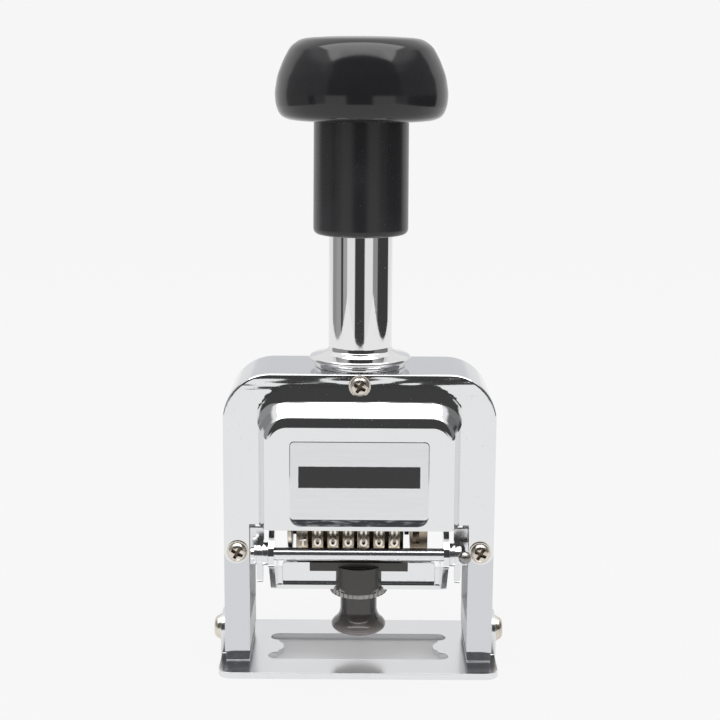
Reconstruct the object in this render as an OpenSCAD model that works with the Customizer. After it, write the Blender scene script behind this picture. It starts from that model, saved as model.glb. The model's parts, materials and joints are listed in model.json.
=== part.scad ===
// Numbering machine: a sprung palm plunger drives seven number wheels down through a
// window in the base while the ink pad under them swings out to the front.
// Frame: origin at the middle of the base's underside, +X to the right, +Y to the back, +Z up.

/* [Frame] */
// Width over the two legs of the frame
frame_w = 63.5; // [62:0.5:66]
// Height of the frame's top face
frame_top = 71.7; // [70:0.1:74]
// Depth of the frame, front to back
frame_depth = 22; // [21:0.5:23]
// Width of one leg, seen from the front
leg_w = 5.95; // [5.5:0.05:6.2]
// Radius of the frame's two top corners
frame_corner_r = 11; // [9:0.5:12]

/* [Covers] */
// Thickness of the pressed covers
cover_t = 0.8; // [0.6:0.1:1]
// How far the pressed bulge stands out of the cover's flange
bulge_depth = 5; // [4.5:0.1:5.5]
// Lower edge of the bulge
bulge_foot = 35.8; // [35:0.1:37]

/* [Base] */
// Width of the base plate
base_w = 66; // [66:0.5:68]
// Depth of the base plate
base_depth = 36.2; // [34:0.2:38]
// Thickness of the base plate
base_t = 1.5; // [1.2:0.1:1.6]

/* [Plunger] */
// Travel of the palm knob, from rest to the paper
stroke = 23.6; // [22:0.1:23.6]
// Diameter of the chromed guide tube
tube_d = 15; // [14.6:0.1:15.2]
// Diameter of the plunger rod
rod_d = 7; // [6.5:0.1:7]
// Greatest diameter of the palm knob
knob_d = 40; // [36:0.5:42]

/* [Number wheels] */
// Number of wheels on the axle
wheel_count = 7; // [7:1:7]
// Distance from one wheel to the next
wheel_pitch = 3.63; // [3.6:0.01:3.65]
// Radius over the raised digits
wheel_r = 10.2; // [10:0.1:10.2]
// Height of the axle above the table, at rest
axle_z = 34; // [34:0.1:34.5]
// Diameter of the axle
axle_d = 4; // [3.8:0.1:4]

/* [Ink pad] */
// Swing of the pad carrier over the whole stroke, in degrees
pad_swing = 96; // [95:1:97]
// Distance of the pad's cross rod in front of the axle
pivot_y = -14; // [-14.2:0.1:-14]
// Height of the cross rod
pivot_z = 29.3; // [29.2:0.1:29.5]
// Diameter of the cross rod
pivot_d = 3; // [2.8:0.1:3]

/* [Hidden] */
fine = 64;

// Fits: a running shaft, a part that only has to clear, and a gap between thin plates
run_gap = 0.06;
seat_gap = 0.02;
slot_gap = 0.12;

// Frame, worked out from its driving sizes
frame_x = frame_w / 2;
frame_y = frame_depth / 2;
inner_x = frame_x - leg_w;
frame_wall = 1.5;
frame_rim = 1.4;
foot_z = 4;
foot_block_top = 11;
beam_z = 66;
beam_in_z = frame_top - frame_wall;
window_corner_r = 4;

// Covers
flange_y = frame_y + cover_t;
strip_foot = 26.2;
bulge_x = 24.6;
bulge_top = 65.4;
bulge_corner_r = 7.2;
face_x = 20.6;
face_top = 60.3;
face_y = flange_y + bulge_depth;
face_corner_r = 5.5;
shoulder_in = 0.6;
shoulder_out = 0.9;

// Wedge on the front cover's face, and the label plate that lies on its slope
pad_x = 16;
pad_foot = 36.9;
pad_edge = 38.4;
pad_top = 56.9;
pad_low_y = face_y + 1.4;
pad_top_y = face_y + 0.3;
pad_corner_r = 1.5;
label_x = 15.8;
label_z = [38.7, 56.3];
label_t = 0.15;
label_corner_r = 1;

// Screws of the covers and of the base
cover_screw_at = [[0, 69], [-28.5, 29.2], [28.5, 29.2]];
cover_screw_d = 2.4;
cover_head_d = 5.1;
cover_head_h = 1.7;
base_screw_z = 6.2;
base_screw_d = 3;
base_head_d = 6.3;
base_head_h = 1.9;
base_screw_depth = 4.5;
screw_flange = 0.3;
recess_span = 0.58;
recess_w = 0.15;
recess_depth = 0.9;
ear_x = frame_x;
ear_t = 1.5;
ear_w = 11;
ear_top = 10.2;

// Base window, with a pointer tongue at each side
window_x = 21.7;
window_y = [-9, 8];
window_lobe_r = 2.2;
tongue_x = 18.2;
tongue_r = 4.1;
base_corner_r = 3.2;
ear_corner_r = 3.5;
ear_foot_h = 4;
spacer_inset = [0.2, 0.6];

// Guide tube and what it carries
tube_top = 114;
tube_foot = 64;
tube_bore = 12.4;
tube_ledge = 72;
collar_d = 24;
collar_ring_d = 21.6;
collar_z = [71.7, 73.2, 74.2];
collar_edge = 0.3;
collar_cone_h = 1.6;
collar_cone_w = 1;
tube_edge = 0.6;
nut_af = 18;
nut_h = 4;

// Bracket that guides the yoke
guide_web_t = 1.2;
guide_leg_t = 1.2;
guide_gap = 0.15;
guide_y = [3.6, 7.2];
guide_foot = 30.2;
guide_plate_y = 8;

// Return spring
spring_wire = 1.1;
spring_d = 10.2;
spring_turns = 13;
spring_sides = 8;
spring_steps = 14;

// Palm knob and sleeve
knob_foot = 129;
knob_top = 148.2;
sleeve_d = 22.2;
sleeve_foot = 102.9;
sleeve_fillet = 2;
knob_bore_top = 139.6;
spigot_d = 17.6;
spigot_h = 5;
knob_screw_d = 5;
knob_screw_top = 143.5;

// Yoke that carries the wheels
yoke_left = [-17, -16];
yoke_right = [14.6, 15.6];
yoke_r = 7.4;
bridge_y = 6.5;
bridge_z = [51, 55];
rod_collar_d = 10.4;
rod_collar_z = [55, 63.9];
rod_nut_h = 3;
rod_nut_af = 8;
rod_thread = 3.4;
spring_seat_t = 2;
spring_seat_gap = 0.6;
axle_head_d = 6;
axle_head_t = 0.9;
axle_end = 1.2;

// Wheels: digit ring, ratchet and hub
stack_left = -14.8;
ring_w = 2.8;
ratchet_w = 0.6;
ratchet_r = 8.6;
ratchet_root = 7.4;
digit_rise = 0.5;
hub_r = 4.2;
digits = 10;

digit_ring_edge = 0.15;
web_recess = [0.5, 1.4];

// Repeat selector and its bracket
selector_x = [12.1, 16.2];
selector_y = [-9.3, -3.2];
selector_z = [29.2, 39.5];
selector_t = 0.6;
selector_window_x = [12.7, 14.2];
selector_window_z = [30.6, 33.6];
selector_disc_x = [12.35, 13.6];
selector_disc_r = 7.3;
selector_notches = 8;
selector_notch_d = 1.6;

// Pawls and detents
finger_w = 0.44;
bar_r = 12.3;
bar_angle = 52;
bar_d = 2.2;
pawl_left = [-15.85, -15];
pawl_right = [11, 12];
pawl_hub_r = 4;
pawl_arm_r = 2;
comb_t = 0.8;
detent_angle = 125;
detent_t = 0.7;
detent_base_t = 0.95;

// Ink pad carrier
arm_x = [19.7, 21];
tray_y = [-6.5, 8];
shelf_z = [18.2, 19.2];
box_z = [19.2, 24];
box_x = 18.2;
box_wall = 0.8;
box_floor = 21.2;
box_rebate = [1.4, 1.2];
front_wall_t = 0.6;
front_wall_top = 24.9;
front_wall_r = 0.8;
shelf_corner_r = 2;
ear_wall_t = 1;
felt_gap = 0.05;
felt_top = 23.4;
pin_d = 2.5;
arm_neck_r = 3.4;
arm_lobe_r = 4.3;
arm_leg_r = [2.6, 1.9];
arm_knee = [8.5, -8.6];
arm_shelf_in = 1.2;
drive_pin_y = pivot_y + stroke / 2 / tan(pad_swing / 2);
drive_pin_z = pivot_z + stroke / 2;
hanger_x = [22.4, 23.8];
hanger_r = 2.4;
hanger_tail = [0.6, -5.4];
hanger_tail_r = 1.6;
hanger_foot_z = [-4, 5];
washer_d = 5.4;
rod_clip_d = 5;
clip_t = 0.6;
thin_gap = 0.05;
rivet_y = -frame_y + frame_rim + 1.1;
rod_end_x = 25.3;

// Handle under the pad
handle_y = -3;
bracket_x = 11.7;
bracket_t = 1;
bracket_z = [23, 25.1];
column_y = -4.2;
column_r = 5.9;
column_foot_r = 6.6;
column_foot_h = 1.6;
neck_d = 8.8;
flare_d = 13.2;
nut_ring_d = 13.9;
nut_ring_z = [16.7, 17.8];
nut_ring_teeth = 36;
nut_tooth_h = 0.35;
knob_low = 6.5;
knob_flare_z = 2.2;
knob_neck_z = 5.6;
handle_screw_d = 3;
handle_head_d = 5.4;
handle_head_t = 0.8;
grip_depth = 3;

// Lock button at the right of the cross rod
lock_x = 24.5;
lock_z = 30;
lock_d = 1;
lock_head_r = 1.5;
lock_y = [-18.3, -9.9];
lock_tab_y = [-11.5, -10.5];
lock_tab_h = 3.2;

module xz(y0, y1) {
    translate([0, y1, 0])
        rotate([90, 0, 0])
            linear_extrude(y1 - y0) children();
}

module yz(x0, x1) {
    translate([x0, 0, 0])
        rotate([90, 0, 90])
            linear_extrude(x1 - x0) children();
}

module xcyl(d, x0, x1, y, z) {
    translate([x0, y, z])
        rotate([0, 90, 0])
            cylinder(d = d, h = x1 - x0, $fn = fine);
}

module ycyl(d, y0, y1, x, z) {
    translate([x, y1, z])
        rotate([90, 0, 0])
            cylinder(d = d, h = y1 - y0, $fn = fine);
}

module both_sides() {
    children();
    mirror([1, 0, 0]) children();
}

module box3(a, b) {
    translate(a) cube(b - a);
}

// A flat bar with round ends from p to q
module bar2d(p, q, r) {
    d = q - p;
    translate(p)
        rotate(atan2(d[1], d[0]))
            translate([0, -r]) square([norm(d), 2 * r]);
    translate(p) circle(r = r, $fn = fine);
    translate(q) circle(r = r, $fn = fine);
}

// A rectangle whose four corners are arcs
module round_rect(a, b, r) {
    translate([a[0] + r, a[1]]) square([b[0] - a[0] - 2 * r, b[1] - a[1]]);
    translate([a[0], a[1] + r]) square([b[0] - a[0], b[1] - a[1] - 2 * r]);
    for (x = [a[0] + r, b[0] - r], y = [a[1] + r, b[1] - r])
        translate([x, y]) circle(r = r, $fn = fine);
}

function bezier(a, b, c, d, n) = [
    for (i = [0 : n])
        let (t = i / n, u = 1 - t)
            u * u * u * a + 3 * u * u * t * b + 3 * u * t * t * c + t * t * t * d
];

function arc(c, r, from, to, n) = [
    for (i = [0 : n])
        let (a = from + (to - from) * i / n)
            c + r * [cos(a), sin(a)]
];

// Outline of the frame's front: an arch with round shoulders, drawn in by inset
module frame_outline(foot, inset = 0) {
    x = frame_x - inset;
    top = frame_top - inset;
    r = frame_corner_r - inset;
    translate([-x, foot]) square([2 * x, top - r - foot]);
    translate([-(x - r), foot]) square([2 * (x - r), top - foot]);
    for (s = [-1, 1])
        translate([s * (x - r), top - r]) circle(r = r, $fn = 2 * fine);
}

module main_frame() {
    color([0.80, 0.80, 0.82])
    difference() {
        union() {
            difference() {
                xz(-frame_y, frame_y) frame_outline(foot_z);
                xz(-frame_y + frame_rim, frame_y - frame_rim) frame_outline(foot_z - 1, frame_wall);
                xz(-frame_y - 1, frame_y + 1)
                    round_rect([-inner_x, -window_corner_r], [inner_x, beam_z], window_corner_r);
            }
            both_sides()
                box3([inner_x, -frame_y, foot_z], [frame_x - 0.5, frame_y, foot_block_top]);
        }
        translate([0, 0, beam_z]) cylinder(d = tube_d + 2 * seat_gap, h = 8, $fn = fine);
        for (at = cover_screw_at)
            ycyl(cover_screw_d + 2 * seat_gap, -frame_y - 1, frame_y + 1, at[0], at[1]);
        both_sides()
            xcyl(base_screw_d + 2 * seat_gap, inner_x + 1, frame_x + 1, 0, base_screw_z);
    }
}

// Flange of a cover: the frame's outline down to the bulge's foot, with a strip on each leg
module cover_flange() {
    difference() {
        frame_outline(bulge_foot);
        translate([-bulge_x + 1, 0]) square([2 * bulge_x - 2, bulge_foot + 20]);
    }
    both_sides()
        round_rect([inner_x, strip_foot], [frame_x, bulge_foot + 10], leg_w / 2 - 0.01);
}

// A slice of the bulge, from the frame's front face out to y
module bulge_slice(y, x, top, r) {
    xz(-y, -frame_y + 0.01)
        round_rect([-x, bulge_foot - 2 * r], [x, top], r);
}

// The bulge's outer form, or with an inset its hollow: the foot, the shoulder and the flat face
module bulge_solid(inset) {
    face_inset = inset / 2;
    hull() {
        bulge_slice(frame_y, bulge_x - inset, bulge_top - inset, bulge_corner_r - inset);
        bulge_slice(face_y - shoulder_in - inset, face_x + shoulder_out - face_inset,
            face_top + shoulder_out - face_inset, face_corner_r + shoulder_out - face_inset);
        bulge_slice(face_y - inset, face_x - face_inset, face_top - face_inset, face_corner_r - face_inset);
    }
}

module pressed_shell() {
    difference() {
        union() {
            xz(-flange_y, -frame_y) cover_flange();
            xz(-flange_y, -frame_y)
                round_rect([-bulge_x - 1, bulge_foot], [bulge_x + 1, bulge_top + 1], bulge_corner_r);
            bulge_solid(0);
        }
        bulge_solid(cover_t);
        box3([-inner_x, -face_y - 2, 10], [inner_x, -frame_y + 1, bulge_foot]);
        for (at = cover_screw_at)
            ycyl(cover_screw_d + 2 * seat_gap, -flange_y - 1, -frame_y + 1, at[0], at[1]);
    }
}

// Distance of the wedge's slope in front of the frame's middle, at a height
function pad_front(z) = pad_low_y + (pad_top_y - pad_low_y) * (z - pad_edge) / (pad_top - pad_edge);

module label_wedge() {
    intersection() {
        yz(-pad_x, pad_x)
            polygon([[-face_y + cover_t / 2, pad_foot], [-face_y, pad_foot], [-pad_low_y, pad_edge],
                [-pad_front(pad_top), pad_top], [-face_y + cover_t / 2, pad_top]]);
        xz(-pad_low_y - 1, -frame_y)
            round_rect([-pad_x, pad_foot], [pad_x, pad_top], pad_corner_r);
    }
}

module front_cover() {
    color([0.84, 0.84, 0.86]) {
        pressed_shell();
        label_wedge();
    }
}

module rear_cover() {
    color([0.84, 0.84, 0.86])
        mirror([0, 1, 0]) pressed_shell();
}

module label_plate() {
    low = -pad_front(label_z[0]);
    high = -pad_front(label_z[1]);
    color([0.88, 0.88, 0.89])
    intersection() {
        yz(-label_x, label_x)
            polygon([[low, label_z[0]], [low - label_t, label_z[0]],
                [high - label_t, label_z[1]], [high, label_z[1]]]);
        xz(-pad_low_y - 1, -face_y)
            round_rect([-label_x, label_z[0]], [label_x, label_z[1]], label_corner_r);
    }
}

module base_outline() {
    round_rect([-base_w / 2, -base_depth / 2], [base_w / 2, base_depth / 2], base_corner_r);
}

// Window in the base: two slots with round ends, joined between the pointer tongues
module base_window() {
    end_x = window_x - window_lobe_r;
    difference() {
        union() {
            for (y = [window_y[0] + window_lobe_r, window_y[1] - window_lobe_r])
                bar2d([-end_x, y], [end_x, y], window_lobe_r);
            translate([-end_x, window_y[0] + window_lobe_r])
                square([2 * end_x, window_y[1] - window_y[0] - 2 * window_lobe_r]);
        }
        for (s = [-1, 1])
            translate([s * (tongue_x + tongue_r), (window_y[0] + window_y[1]) / 2])
                circle(r = tongue_r, $fn = fine);
    }
}

module base_plate() {
    color([0.80, 0.81, 0.83])
    difference() {
        union() {
            linear_extrude(base_t)
                difference() {
                    base_outline();
                    base_window();
                }
            both_sides()
                yz(ear_x, ear_x + ear_t)
                    round_rect([-ear_w / 2, 0], [ear_w / 2, ear_top], ear_corner_r);
            both_sides()
                box3([ear_x, -ear_w / 2, 0], [ear_x + ear_t, ear_w / 2, ear_foot_h]);
        }
        both_sides()
            xcyl(base_screw_d + 2 * seat_gap, ear_x - 1, ear_x + ear_t + 1, 0, base_screw_z);
    }
}

module foot_spacers() {
    color([0.12, 0.12, 0.13])
    both_sides()
        box3([inner_x + spacer_inset[0], -frame_y + spacer_inset[1], base_t],
             [frame_x - spacer_inset[0], frame_y - spacer_inset[1], foot_z]);
}

module guide_tube() {
    color([0.85, 0.85, 0.87])
    rotate_extrude($fn = 2 * fine)
    polygon([
        [rod_d / 2 + run_gap, tube_foot], [tube_d / 2, tube_foot], [tube_d / 2, collar_z[0]],
        [collar_ring_d / 2, collar_z[0]], [collar_ring_d / 2, collar_z[1] - collar_edge],
        [collar_ring_d / 2 - collar_edge, collar_z[1]], [collar_d / 2 - collar_edge, collar_z[1]],
        [collar_d / 2, collar_z[1] + collar_edge], [collar_d / 2, collar_z[2] - collar_edge],
        [collar_d / 2 - collar_edge, collar_z[2]],
        [tube_d / 2 + collar_cone_w, collar_z[2] + collar_cone_h / 3],
        [tube_d / 2, collar_z[2] + collar_cone_h], [tube_d / 2, tube_top - tube_edge],
        [tube_d / 2 - tube_edge, tube_top],
        [tube_bore / 2, tube_top], [tube_bore / 2, tube_ledge], [rod_d / 2 + run_gap, tube_ledge]
    ]);
}

module tube_nut() {
    color([0.70, 0.68, 0.62])
    translate([0, 0, beam_in_z - guide_web_t - nut_h])
    difference() {
        cylinder(d = nut_af / cos(30), h = nut_h, $fn = 6);
        translate([0, 0, -1]) cylinder(d = tube_d + 2 * seat_gap, h = nut_h + 2, $fn = fine);
    }
}

// Sheet bracket clamped under the beam: its two legs keep the yoke from turning
module guide_bracket() {
    left = yoke_left[0] - guide_gap;
    right = yoke_right[1] + guide_gap;
    color([0.62, 0.62, 0.64])
    difference() {
        union() {
            box3([left - guide_leg_t, -guide_plate_y, beam_in_z - guide_web_t],
                 [right + guide_leg_t, guide_plate_y, beam_in_z]);
            box3([left - guide_leg_t, guide_y[0], guide_foot], [left, guide_y[1], beam_in_z]);
            box3([right, guide_y[0], guide_foot], [right + guide_leg_t, guide_y[1], beam_in_z]);
        }
        translate([0, 0, beam_in_z - 2 * guide_web_t])
            cylinder(d = tube_d + 2 * seat_gap, h = 3 * guide_web_t, $fn = fine);
    }
}

module cross_rod() {
    color([0.86, 0.86, 0.88])
        xcyl(pivot_d, -rod_end_x, hanger_x[1], pivot_y, pivot_z);
}

// Lug that holds one end of the cross rod, riveted to the inside of the leg
module hanger() {
    difference() {
        union() {
            yz(hanger_x[0], hanger_x[1]) {
                bar2d([pivot_y, pivot_z], [pivot_y + hanger_r, pivot_z], hanger_r);
                translate([pivot_y + hanger_r, pivot_z - hanger_r])
                    square([rivet_y - pivot_y - hanger_r, 2 * hanger_r]);
                bar2d([pivot_y - 0.5, pivot_z], [pivot_y, pivot_z] + hanger_tail, hanger_tail_r);
            }
            box3([hanger_x[0], -frame_y + frame_rim, pivot_z + hanger_foot_z[0]],
                 [inner_x + cover_t, rivet_y, pivot_z + hanger_foot_z[1]]);
        }
        xcyl(pivot_d + 2 * seat_gap, hanger_x[0] - 1, hanger_x[1] + 1, pivot_y, pivot_z);
    }
}

module rod_hangers() {
    color([0.82, 0.82, 0.84]) {
        mirror([1, 0, 0]) hanger();
        difference() {
            union() {
                hanger();
                box3([hanger_x[1] - 0.5, lock_tab_y[0], lock_z - lock_tab_h / 2],
                     [inner_x - 0.1, lock_tab_y[1], lock_z + lock_tab_h / 2]);
            }
            ycyl(lock_d + 2 * run_gap, lock_tab_y[0] - 1, 0, lock_x, lock_z);
        }
    }
}

module rod_washers() {
    color([0.86, 0.86, 0.88])
    both_sides()
    difference() {
        xcyl(washer_d, arm_x[1] + thin_gap, hanger_x[0], pivot_y, pivot_z);
        xcyl(pivot_d + 2 * seat_gap, arm_x[0], hanger_x[1], pivot_y, pivot_z);
    }
}

module rod_clip() {
    color([0.78, 0.78, 0.80])
    difference() {
        xcyl(rod_clip_d, -hanger_x[1] - clip_t, -hanger_x[1], pivot_y, pivot_z);
        xcyl(pivot_d + 2 * seat_gap, -rod_end_x - 1, -hanger_x[0], pivot_y, pivot_z);
    }
}

// Pan head on a thin flange, with a cross recess, its seat at z = 0 and its shank below
module pan_screw(d, head_d, head_h, shank) {
    dome_r = 0.72 * head_h;
    dome_x = head_d / 2 - screw_flange;
    difference() {
        union() {
            translate([0, 0, -shank]) cylinder(d = d, h = shank, $fn = fine);
            rotate_extrude($fn = fine)
                polygon(concat([[0, 0], [head_d / 2, 0], [head_d / 2, head_h - dome_r]],
                    arc([dome_x - dome_r, head_h - dome_r], dome_r, 0, 90, 8),
                    [[0, head_h]]));
        }
        for (a = [0, 90])
            rotate([0, 0, a])
                translate([0, 0, head_h])
                    cube([recess_span * head_d, recess_w * head_d, 2 * recess_depth], center = true);
    }
}

module cover_screw_set() {
    for (at = cover_screw_at)
        translate([at[0], -flange_y, at[1]])
            rotate([90, 30, 0])
                pan_screw(cover_screw_d, cover_head_d, cover_head_h, cover_t + frame_rim + 0.2);
}

module front_cover_screws() {
    color([0.74, 0.71, 0.66]) cover_screw_set();
}

module rear_cover_screws() {
    color([0.74, 0.71, 0.66]) mirror([0, 1, 0]) cover_screw_set();
}

module base_screws() {
    color([0.78, 0.77, 0.74])
    both_sides()
        translate([ear_x + ear_t, 0, base_screw_z])
            rotate([0, 90, 0])
                pan_screw(base_screw_d, base_head_d, base_head_h, ear_t + base_screw_depth);
}

// Palm knob: a broad mushroom whose flank runs back under its rim
module palm_knob() {
    r = knob_d / 2;
    color([0.06, 0.06, 0.07])
    difference() {
        rotate_extrude($fn = 2 * fine)
        polygon(concat(
            [[0, knob_foot], [11.2, knob_foot]],
            bezier([r - 3, knob_foot + 0.3], [r - 1.2, knob_foot + 0.6], [r - 0.6, knob_foot + 3.6],
                [r, knob_foot + 6.4], 10),
            bezier([r, knob_foot + 6.4], [r + 0.1, knob_foot + 9], [r - 1.4, knob_foot + 13.4],
                [r - 3.4, knob_foot + 16.6], 12),
            bezier([r - 3.4, knob_foot + 16.6], [r - 4.6, knob_foot + 18.3], [r - 6.4, knob_top - 0.6],
                [r - 8, knob_top - 0.4], 8),
            [[0, knob_top]]));
        translate([0, 0, knob_foot - 1]) cylinder(d = spigot_d, h = spigot_h + 1, $fn = fine);
        translate([0, 0, knob_foot]) cylinder(d = tube_d + 0.6, h = knob_bore_top - knob_foot, $fn = fine);
        translate([0, 0, knob_foot]) cylinder(d = knob_screw_d, h = knob_screw_top - knob_foot, $fn = fine);
    }
}

module knob_sleeve() {
    r = sleeve_d / 2;
    bore = tube_d / 2 + run_gap;
    color([0.07, 0.07, 0.08])
    rotate_extrude($fn = 2 * fine)
    polygon(concat(
        [[bore, sleeve_foot]],
        arc([r - 0.2 - sleeve_fillet, sleeve_foot + sleeve_fillet], sleeve_fillet, -90, 0, 8),
        [[r, knob_foot], [spigot_d / 2, knob_foot], [spigot_d / 2, knob_foot + spigot_h - 0.2],
         [bore, knob_foot + spigot_h - 0.2]]));
}

module plunger_rod() {
    color([0.75, 0.75, 0.77]) {
        translate([0, 0, bridge_z[0] - rod_thread])
            cylinder(d = knob_screw_d, h = rod_collar_z[0] - bridge_z[0] + rod_thread, $fn = fine);
        translate([0, 0, rod_collar_z[0]])
            cylinder(d = rod_collar_d, h = rod_collar_z[1] - rod_collar_z[0], $fn = fine);
        translate([0, 0, rod_collar_z[1]])
            cylinder(d = rod_d, h = knob_bore_top - rod_collar_z[1], $fn = fine);
        translate([0, 0, knob_bore_top])
            cylinder(d = knob_screw_d, h = knob_screw_top - knob_bore_top, $fn = fine);
        translate([0, 0, knob_bore_top - spring_seat_t])
            cylinder(d = tube_bore - spring_seat_gap, h = spring_seat_t, $fn = fine);
    }
}

// Compression spring round the rod, from the tube's ledge up to the rod's head
module return_spring() {
    low = tube_ledge + spring_wire / 2;
    high = knob_bore_top - spring_seat_t - spring_wire / 2;
    rings = spring_turns * spring_steps;
    pitch_angle = atan((high - low) / spring_turns / (PI * spring_d));
    points = [
        for (i = [0 : rings], j = [0 : spring_sides - 1])
            let (a = 360 * i / spring_steps, b = 360 * j / spring_sides,
                 u = spring_wire / 2 * cos(b), v = spring_wire / 2 * sin(b),
                 c = [cos(a), sin(a), 0], t = [-sin(a), cos(a), 0])
                (spring_d / 2 + u) * c - v * sin(pitch_angle) * t
                    + [0, 0, low + (high - low) * i / rings + v * cos(pitch_angle)]
    ];
    sides = [
        for (i = [0 : rings - 1], j = [0 : spring_sides - 1])
            let (k = (j + 1) % spring_sides)
                [i * spring_sides + j, (i + 1) * spring_sides + j,
                 (i + 1) * spring_sides + k, i * spring_sides + k]
    ];
    ends = [
        [for (j = [0 : spring_sides - 1]) j],
        [for (j = [spring_sides - 1 : -1 : 0]) rings * spring_sides + j]
    ];
    color([0.70, 0.70, 0.72]) polyhedron(points, concat(sides, ends), convexity = 10);
}

module rod_nut() {
    color([0.72, 0.70, 0.64])
    translate([0, 0, bridge_z[0] - rod_nut_h])
    difference() {
        cylinder(d = rod_nut_af / cos(30), h = rod_nut_h, $fn = 6);
        translate([0, 0, -1]) cylinder(d = knob_screw_d + 2 * seat_gap, h = rod_nut_h + 2, $fn = fine);
    }
}

// Yoke: a bridge with one side plate at each end of the axle
module wheel_yoke() {
    color([0.60, 0.58, 0.54])
    difference() {
        union() {
            box3([yoke_left[0], -bridge_y, bridge_z[0]], [yoke_right[1], bridge_y, bridge_z[1]]);
            for (plate = [yoke_left, yoke_right])
                yz(plate[0], plate[1]) {
                    translate([0, axle_z]) circle(r = yoke_r, $fn = fine);
                    translate([-yoke_r, axle_z]) square([2 * yoke_r, bridge_z[0] + 2 - axle_z]);
                }
        }
        translate([0, 0, bridge_z[0] - 1])
            cylinder(d = knob_screw_d + 2 * seat_gap, h = 6, $fn = fine);
        xcyl(axle_d + 2 * seat_gap, yoke_left[0] - 1, yoke_right[1] + 1, 0, axle_z);
        xcyl(pin_d + 2 * seat_gap, yoke_left[0] - 1, yoke_right[1] + 1, drive_pin_y, drive_pin_z);
    }
}

module wheel_axle() {
    color([0.76, 0.75, 0.72]) {
        xcyl(axle_d, yoke_left[0] - axle_head_t / 2, yoke_right[1] + axle_end, 0, axle_z);
        xcyl(axle_head_d, yoke_left[0] - axle_head_t, yoke_left[0], 0, axle_z);
    }
}

module axle_clip() {
    color([0.70, 0.70, 0.72])
    difference() {
        xcyl(axle_head_d, yoke_right[1], yoke_right[1] + clip_t, 0, axle_z);
        xcyl(axle_d + 2 * seat_gap, yoke_right[0], yoke_right[1] + 2, 0, axle_z);
    }
}

// Pins that work in the cam slots of the pad carrier's arms
module drive_pins() {
    color([0.80, 0.80, 0.82]) {
        xcyl(pin_d, -arm_x[1] - 0.3, yoke_left[1], drive_pin_y, drive_pin_z);
        xcyl(pin_d, yoke_right[0], arm_x[1] + 0.3, drive_pin_y, drive_pin_z);
    }
}

function wheel_x(i) = stack_left + i * wheel_pitch;
function finger_x(i) = wheel_x(i) + ring_w + (wheel_pitch - ring_w) / 2;

// Ratchet disc: ten saw teeth, one for each digit
module ratchet2d() {
    polygon([
        for (i = [0 : digits - 1], k = [0, 1])
            let (a = 360 / digits * (i + 0.5), r = k == 0 ? ratchet_root : ratchet_r)
                r * [cos(a), sin(a)]
    ]);
}

module number_wheel(i) {
    x = wheel_x(i);
    bore = axle_d / 2 + run_gap;
    body_r = wheel_r - digit_rise;
    color([0.58, 0.50, 0.40])
    difference() {
        union() {
            translate([x, 0, axle_z])
                rotate([90, 0, 90])
                    rotate_extrude($fn = 2 * fine)
                        polygon([
                            [1, 0], [hub_r, 0], [hub_r, web_recess[0]],
                            [body_r - web_recess[1], web_recess[0]], [body_r - web_recess[1], 0],
                            [body_r - digit_ring_edge, 0], [body_r, digit_ring_edge],
                            [body_r, ring_w - digit_ring_edge], [body_r - digit_ring_edge, ring_w],
                            [1, ring_w]
                        ]);
            yz(x + ring_w, x + ring_w + ratchet_w)
                translate([0, axle_z]) ratchet2d();
        }
        xcyl(2 * bore, x - 1, x + wheel_pitch + 1, 0, axle_z);
    }
}

module number_wheel_1() { number_wheel(0); }
module number_wheel_2() { number_wheel(1); }
module number_wheel_3() { number_wheel(2); }
module number_wheel_4() { number_wheel(3); }
module number_wheel_5() { number_wheel(4); }
module number_wheel_6() { number_wheel(5); }
module number_wheel_7() { number_wheel(6); }

function polar(r, a) = [r * cos(a), axle_z + r * sin(a)];

module axle_plate(x0, x1) {
    difference() {
        yz(x0, x1) {
            translate([0, axle_z]) circle(r = pawl_hub_r, $fn = fine);
            bar2d([0, axle_z], polar(bar_r, bar_angle), bar_d / 2);
            bar2d([0, axle_z], polar(bar_r - pawl_hub_r, bar_angle), pawl_arm_r);
        }
        xcyl(axle_d + 2 * run_gap, x0 - 1, x1 + 1, 0, axle_z);
    }
}

// Pawl frame: two plates on the axle and the bar between them
module pawl_frame() {
    at = polar(bar_r, bar_angle);
    color([0.66, 0.65, 0.62]) {
        axle_plate(pawl_left[0], pawl_left[1]);
        axle_plate(pawl_right[0], pawl_right[1]);
        xcyl(bar_d, pawl_left[0], pawl_right[1], at[0], at[1]);
    }
}

// A point beside the pawl frame's bar: r from the axle, on the comb's plate
function comb_at(r) =
    polar(r, bar_angle) + (bar_d / 2 + comb_t / 2) * [-sin(bar_angle), cos(bar_angle)];

// Seven pawls, one for each ratchet, cut from one plate that is riveted to the bar
module pawl_comb() {
    left = finger_x(0) - finger_w / 2;
    right = finger_x(wheel_count - 1) + finger_w / 2;
    color([0.55, 0.54, 0.52]) {
        yz(left, right)
            bar2d(comb_at(bar_r - 0.9), comb_at(bar_r + 0.6), comb_t / 2);
        for (i = [0 : wheel_count - 1])
            yz(finger_x(i) - finger_w / 2, finger_x(i) + finger_w / 2)
                bar2d(comb_at(ratchet_r + 0.9), comb_at(bar_r), comb_t / 2);
    }
}

// Leaf springs under the front of the bridge, one resting over each ratchet
module detent_comb() {
    tip = polar(ratchet_r + detent_t, detent_angle);
    root = [-bridge_y - detent_t, bridge_z[0] + 0.5];
    color([0.66, 0.66, 0.68]) {
        box3([stack_left + 1, -bridge_y - detent_base_t, bridge_z[0] - 1.5],
             [finger_x(wheel_count - 1) + finger_w / 2, -bridge_y, bridge_z[1] - 0.5]);
        for (i = [0 : wheel_count - 1])
            yz(finger_x(i) - finger_w / 2, finger_x(i) + finger_w / 2)
                bar2d(tip, root, detent_t / 2);
    }
}

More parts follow.
